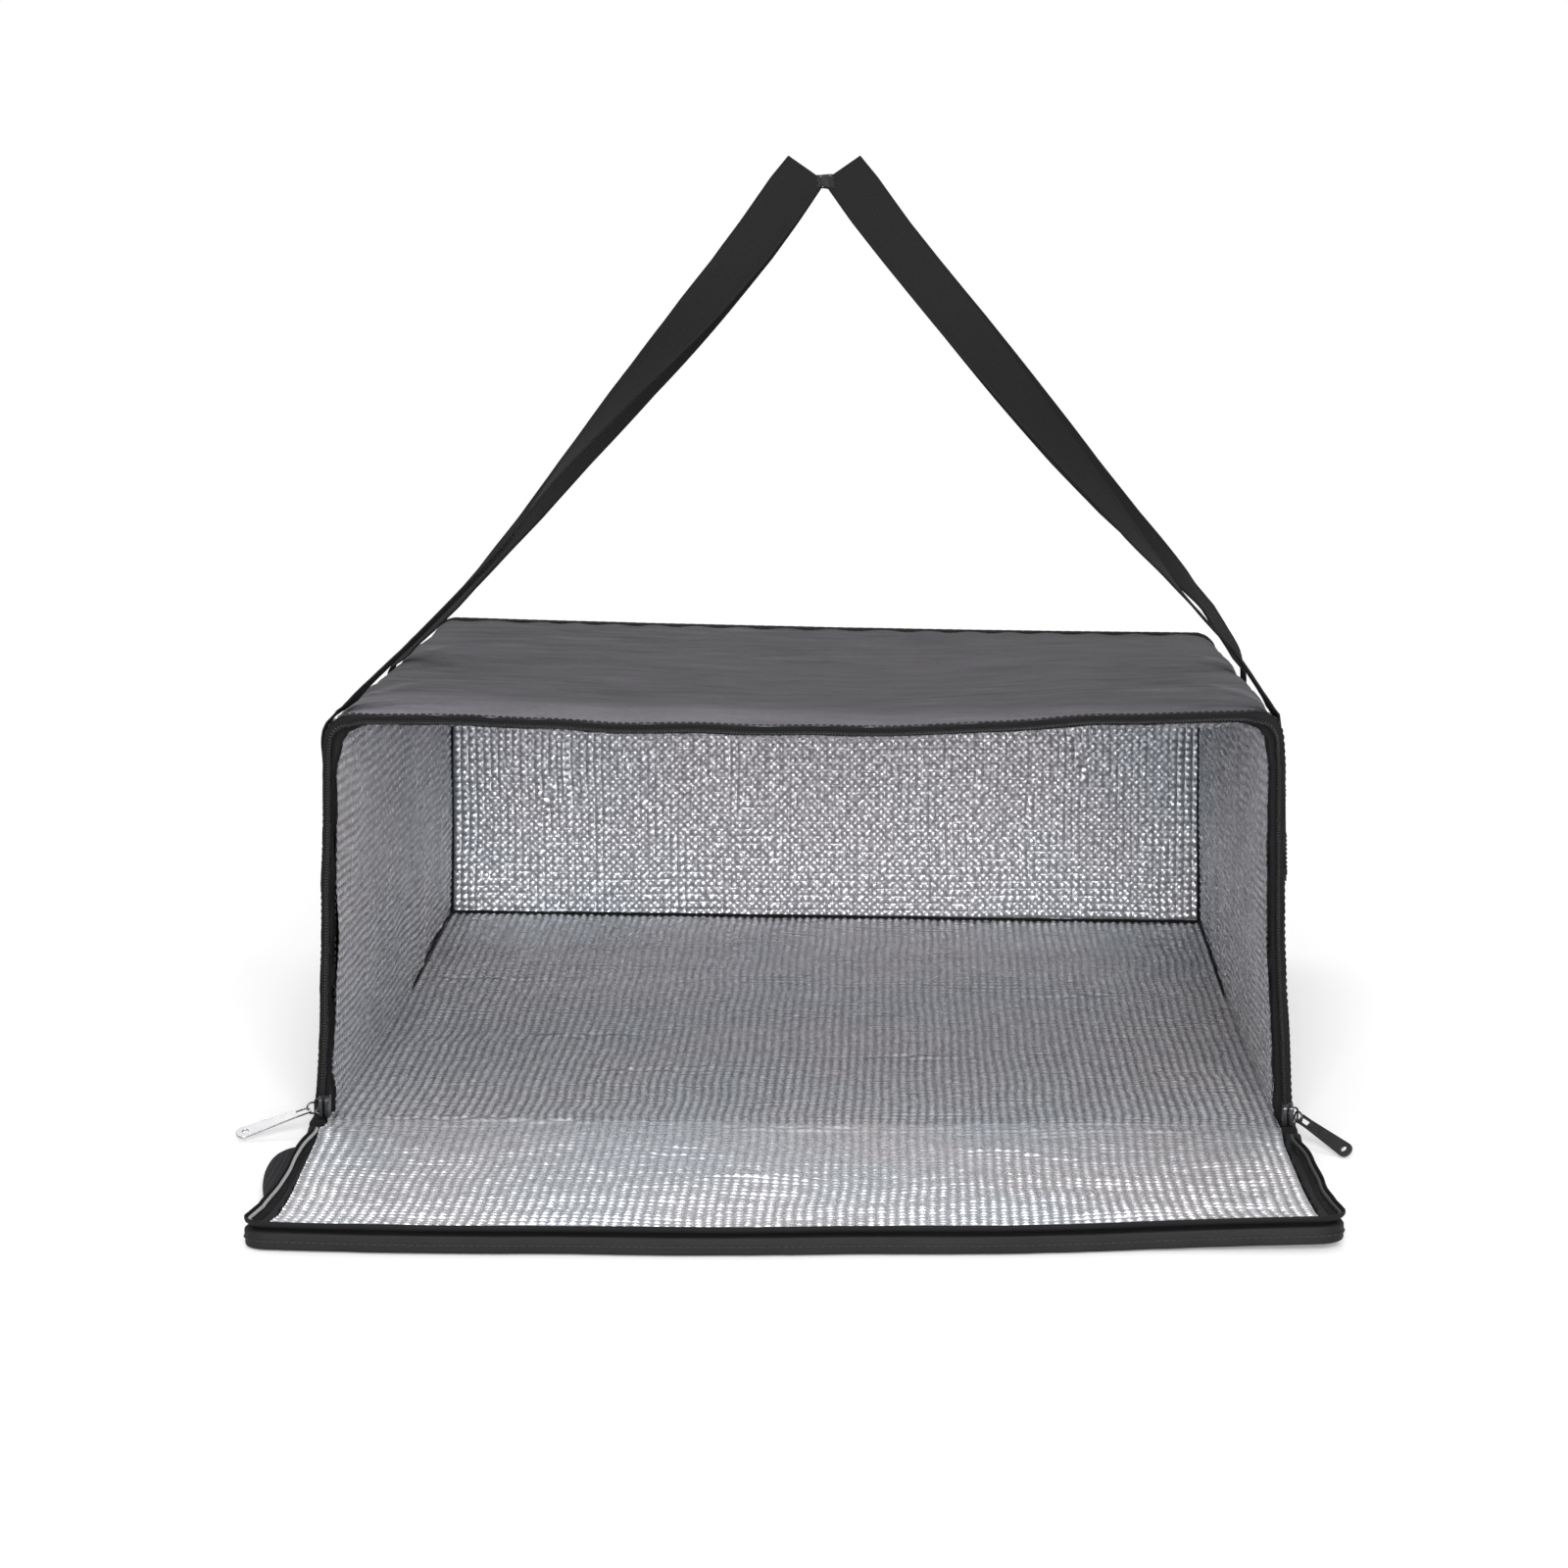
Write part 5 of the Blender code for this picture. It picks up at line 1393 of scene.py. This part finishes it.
def strap_line(toward, anchor_y, side):
    """Middle line, along and across directions of half a strap, from its sewn foot to the top.

    It runs up the side, then along a cubic curve in the strap's plane, twists a quarter turn about its
    own line as measured, and the plane leans over about the root within its first centimetres."""
    high, lean = strap_lean(anchor_y)
    half = WEBBING_WIDTH / 2
    end = np.array([half * math.sin(APEX_PITCH) + APEX_GAP / 2, high - half * math.cos(APEX_PITCH)])
    shoulder = end + SHOULDER_REACH * np.array([math.cos(APEX_PITCH), -math.sin(APEX_PITCH)])
    corners = np.array([[STRAP_X, ROOT_STRAIGHT], [STRAP_X, ROOT_STRAIGHT + ROOT_RISE], shoulder, end])
    share = np.linspace(0.0, 1.0, 180)
    keep = 1 - share
    weights = np.stack([keep ** 3, 3 * keep ** 2 * share, 3 * keep * share ** 2, share ** 3], -1)
    curve = weights @ corners
    foot = np.linspace(ANCHOR_FOOT_Z - STRAP_AXIS_Z, ROOT_STRAIGHT, 60)[:-1]
    flat_x = ANCHOR_X + (STRAP_X - ANCHOR_X) * rise(-0.020, 0.012, foot)
    line = np.concatenate([np.stack([flat_x, foot], -1), curve])
    twists = (LEFT_TWIST, RIGHT_TWIST) if toward > 0 else (REAR_LEFT_TWIST, REAR_RIGHT_TWIST)
    twist = np.interp(share, *twists[side > 0])
    twist = np.radians(np.concatenate([np.full(len(foot), 90.0), twist]))
    along = unit(np.gradient(line, axis=0))
    zero = np.zeros(len(line))
    middle = np.stack([line[:, 0], zero, line[:, 1]], -1)
    ahead = np.stack([along[:, 0], zero, along[:, 1]], -1)
    flat = np.stack([along[:, 1], zero, -along[:, 0]], -1)
    width = flat * np.cos(twist)[:, None] + np.array([0.0, 1.0, 0.0]) * np.sin(twist)[:, None]
    depth = np.cross(ahead, width)

    def stand(points):
        """Leans points about the root by an angle that grows with height, and puts them in the bag."""
        heights = points[..., 2]
        angle = toward * lean * rise(-0.022, 0.022, heights)
        y = points[..., 1] * np.cos(angle) + points[..., 2] * np.sin(angle)
        z = points[..., 2] * np.cos(angle) - points[..., 1] * np.sin(angle)
        place = np.array([0.0, anchor_y, STRAP_AXIS_Z])
        return hang(np.stack([side * points[..., 0], y, z], -1) + place, side, toward)

    return middle, width, depth, stand


class DELIVERYBAG_OT_straps(bpy.types.Operator):
    """Build the webbing straps, sewn to the sides and tacked together in pairs at the top."""

    bl_idname = "delivery_bag.straps"
    bl_label = "Straps"

    def execute(self, context):
        for strap, anchor_y, toward in STRAPS:
            for side, label in ((-1, "left"), (1, "right")):
                self.half_strap(strap, anchor_y, toward, side, label)
            self.tack(strap, anchor_y, toward)
        return {"FINISHED"}

    def half_strap(self, strap, anchor_y, toward, side, label):
        """One half: a flat profile with thick selvedges carried along the strap's line."""
        middle, width, depth, stand = strap_line(toward, anchor_y, side)
        half, thick = WEBBING_WIDTH / 2, WEBBING_THICKNESS / 2
        edge = np.array([1.0, 0.97, 0.90, 0.84, 0.78, 0.45, 0.0])
        rib = np.array([0.35, 0.85, 1.0, 0.98, 0.80, 0.84, 0.86])
        a = np.concatenate([edge, -edge[::-1][1:], -edge, edge[::-1][1:]])
        b = np.concatenate([rib, rib[::-1][1:], -rib, -rib[::-1][1:]])
        points = middle[:, None] + width[:, None] * (half * a)[None, :, None] \
            + depth[:, None] * (thick * b)[None, :, None]
        marks = grid_uv(distances(middle), loop_marks(half * a, thick * b))
        end = strap.removesuffix("_strap")
        webbing = make_piece(f"{strap}_webbing_{label}", stand(points), marks, cloth_finish("black_webbing"),
                             closed=True)
        bend_out(webbing, "webbing", "bag", strap, (0, anchor_y, 0.190), (0, anchor_y, 0.230),
                 f"strap_anchor_{end}_{label}", f"{strap}_{label}")
        self.side_stitches(strap, anchor_y, side, label)

    def side_stitches(self, strap, anchor_y, side, label):
        """A sewn box with a cross in it, and one row above it, on the webbing's foot."""
        box = [(-BOX_HALF, BOX_LOW), (BOX_HALF, BOX_LOW), (BOX_HALF, BOX_HIGH), (-BOX_HALF, BOX_HIGH)]
        lines = [*zip(box, box[1:] + box[:1]), (box[0], box[2]), (box[1], box[3])]
        lines += [((-BOX_HALF, height), (BOX_HALF, height)) for height in ROW_HEIGHTS]
        face = side * (ANCHOR_X + WEBBING_THICKNESS / 2 + 0.0001)
        rows = []
        for (y0, z0), (y1, z1) in lines:
            line = np.linspace((face, anchor_y + y0, z0), (face, anchor_y + y1, z1), 12)
            up = np.broadcast_to([float(side), 0.0, 0.0], line.shape)
            rows.append(stitch_row(line, up, 0.0024))
        starts, ends, lift = (np.concatenate(part) for part in zip(*rows))
        sew(f"{strap}_box_stitches_{label}", hang(starts, side), hang(ends, side), lift, STITCH_RADIUS, "bag")

    def tack(self, strap, anchor_y, toward):
        """The bar tack where the two halves meet: close rows of thread on both faces."""
        high, lean = strap_lean(anchor_y)
        low = high - WEBBING_WIDTH * math.cos(APEX_PITCH) - 0.0040
        rows = np.tile(np.arange(TACK_ROWS), 2)
        face = np.repeat([-1.0, 1.0], TACK_ROWS)
        y = face * (WEBBING_THICKNESS / 2 + 0.0003)
        z = low + 0.0006 + rows * TACK_PITCH
        tilt = np.where(rows % 2, TACK_TILT, -TACK_TILT)
        reach = TACK_REACH - 0.0004 * (rows % 3)
        c, s = math.cos(toward * lean), math.sin(toward * lean)
        turn = np.array([[1, 0, 0], [0, c, -s], [0, s, c]])
        place = np.array([0.0, anchor_y, STRAP_AXIS_Z])
        starts, ends = (hang(np.stack([way * reach, y, z + way * tilt], -1) @ turn + place, -1)
                        for way in (-1, 1))
        up = face[:, None] * turn[1]
        sew(f"{strap}_bar_tack", starts, ends, up, 0.00036, strap, f"{strap}_tack")


class DELIVERYBAG_OT_stage(bpy.types.Operator):
    """Build the floor, the lamps, the sky and the camera."""

    bl_idname = "delivery_bag.stage"
    bl_label = "Stage"

    def execute(self, context):
        self.floor(context)
        self.lamps(context)
        self.sky(context)
        self.camera(context)
        context.scene.view_settings.view_transform = "Standard"
        return {"FINISHED"}

    def seen_directly(self, tree):
        """1 for rays from the camera and for mirrored and transmitted ones, 0 for the rest."""
        path = tree.nodes.new("ShaderNodeLightPath")
        seen = calc(tree, "MAXIMUM", path.outputs["Is Camera Ray"], path.outputs["Is Glossy Ray"])
        return calc(tree, "MAXIMUM", seen, path.outputs["Is Transmission Ray"])

    def floor(self, context):
        """A pale floor that keeps the shadow near the bag and is plain white further out."""
        settings = context.scene.delivery_bag_stage
        edge = np.linspace(-30.0, 30.0, 13)
        gx, gy = grid(edge, edge)
        material, tree, shader, places = new_finish("pale_floor", 0.9)
        shader.inputs["Base Color"].default_value = (*settings.floor_color, 1.0)
        shader.inputs["Specular IOR Level"].default_value = 0.0
        length = tree.nodes.new("ShaderNodeVectorMath")
        length.operation = "LENGTH"
        tree.links.new(places.outputs["Object"], length.inputs[0])
        far = line_of(tree, length.outputs["Value"], 1.8, -1.15)
        far = calc(tree, "MAXIMUM", calc(tree, "SMOOTH_MIN", 1.0, far, 0.2), 0.0)
        plain = tree.nodes.new("ShaderNodeEmission")
        blend = tree.nodes.new("ShaderNodeMixShader")
        tree.links.new(times(tree, far, self.seen_directly(tree)), blend.inputs[0])
        tree.links.new(shader.outputs[0], blend.inputs[1])
        tree.links.new(plain.outputs[0], blend.inputs[2])
        glow = times(tree, self.seen_directly(tree), 0.17)
        shader.inputs["Emission Color"].default_value = (1.0, 1.0, 1.0, 1.0)
        tree.links.new(glow, shader.inputs["Emission Strength"])
        tree.links.new(blend.outputs[0], tree.nodes["Material Output"].inputs["Surface"])
        points = np.stack([gx, gy, np.full(gx.shape, -0.0002)], -1)
        floor = make_piece("stage_floor", points, grid_uv(edge, edge), material, away_from=(0, 0, -9))

    def lamps(self, context):
        """Two large soft lamps: one in front of and above the bag, one behind and above it."""
        settings = context.scene.delivery_bag_stage
        for name, (power, place, target, size) in LAMPS.items():
            lamp = bpy.data.lights.new(name, "AREA")
            lamp.shape = "SQUARE"
            lamp.size = size
            lamp.energy = getattr(settings, power)
            obj = bpy.data.objects.new(name, lamp)
            aim = np.subtract(target, place)
            obj.location = place
            obj.rotation_euler = (math.pi - math.acos(aim[2] / np.linalg.norm(aim)), 0.0,
                                  math.atan2(aim[1], aim[0]) - math.pi / 2)
            context.scene.collection.objects.link(obj)

    def sky(self, context):
        """Even light from all round, and plain white where the camera sees it."""
        world = bpy.data.worlds.new("plain_sky")
        world.use_nodes = True
        tree = world.node_tree
        shade = tree.nodes["Background"]
        shade.inputs["Color"].default_value = (1.0, 1.0, 1.0, 1.0)
        strength = context.scene.delivery_bag_stage.sky
        path = tree.nodes.new("ShaderNodeLightPath")
        level = line_of(tree, path.outputs["Is Camera Ray"], 1.0 - strength, strength)
        tree.links.new(level, shade.inputs["Strength"])
        context.scene.world = world

    def camera(self, context):
        """The photograph's view: 2.1 m in front of the mouth, 0.5 m high, looking slightly down."""
        lens = bpy.data.cameras.new("photo_camera")
        lens.sensor_width = 36.0
        lens.lens = lens.sensor_width * FOCAL_PIXELS / PIXELS
        lens.clip_start, lens.clip_end = 0.05, 100.0
        camera = bpy.data.objects.new("photo_camera", lens)
        camera.location = CAMERA_PLACE
        camera.rotation_euler = (math.radians(90.0 - CAMERA_DROP), 0.0, math.radians(CAMERA_TURN))
        context.scene.collection.objects.link(camera)
        context.scene.camera = camera


class DELIVERYBAG_PT_sidebar(bpy.types.Panel):
    """Sizes, colours and building steps of the bag."""

    bl_idname = "DELIVERYBAG_PT_sidebar"
    bl_label = "Delivery Bag"
    bl_space_type = "VIEW_3D"
    bl_region_type = "UI"
    bl_category = "Delivery Bag"

    def draw(self, context):
        for step in STEPS:
            self.layout.operator(step.bl_idname)
        for label in SETTINGS:
            group = getattr(context.scene, label)
            box = self.layout.box()
            for name in group.bl_rna.properties.keys():
                if name not in ("rna_type", "name"):
                    box.prop(group, name)


SETTINGS = {
    "delivery_bag_cloth": ClothSettings,
    "delivery_bag_foil": FoilSettings,
    "delivery_bag_zip": ZipSettings,
    "delivery_bag_stage": StageSettings,
}
STEPS = (
    DELIVERYBAG_OT_outer_cover,
    DELIVERYBAG_OT_foil_lining,
    DELIVERYBAG_OT_flap_panel,
    DELIVERYBAG_OT_edge_binding,
    DELIVERYBAG_OT_zip,
    DELIVERYBAG_OT_straps,
    DELIVERYBAG_OT_stage,
)


def register():
    for kind in (*SETTINGS.values(), *STEPS, DELIVERYBAG_PT_sidebar):
        bpy.utils.register_class(kind)
    for label, kind in SETTINGS.items():
        setattr(bpy.types.Scene, label, PointerProperty(type=kind))


def unregister():
    for label in SETTINGS:
        delattr(bpy.types.Scene, label)
    for kind in (DELIVERYBAG_PT_sidebar, *STEPS, *SETTINGS.values()):
        bpy.utils.unregister_class(kind)


def main():
    register()
    bpy.ops.delivery_bag.outer_cover()
    bpy.ops.delivery_bag.foil_lining()
    bpy.ops.delivery_bag.flap_panel()
    bpy.ops.delivery_bag.edge_binding()
    bpy.ops.delivery_bag.zip()
    bpy.ops.delivery_bag.straps()
    bpy.ops.delivery_bag.stage()


if __name__ == "__main__":
    main()
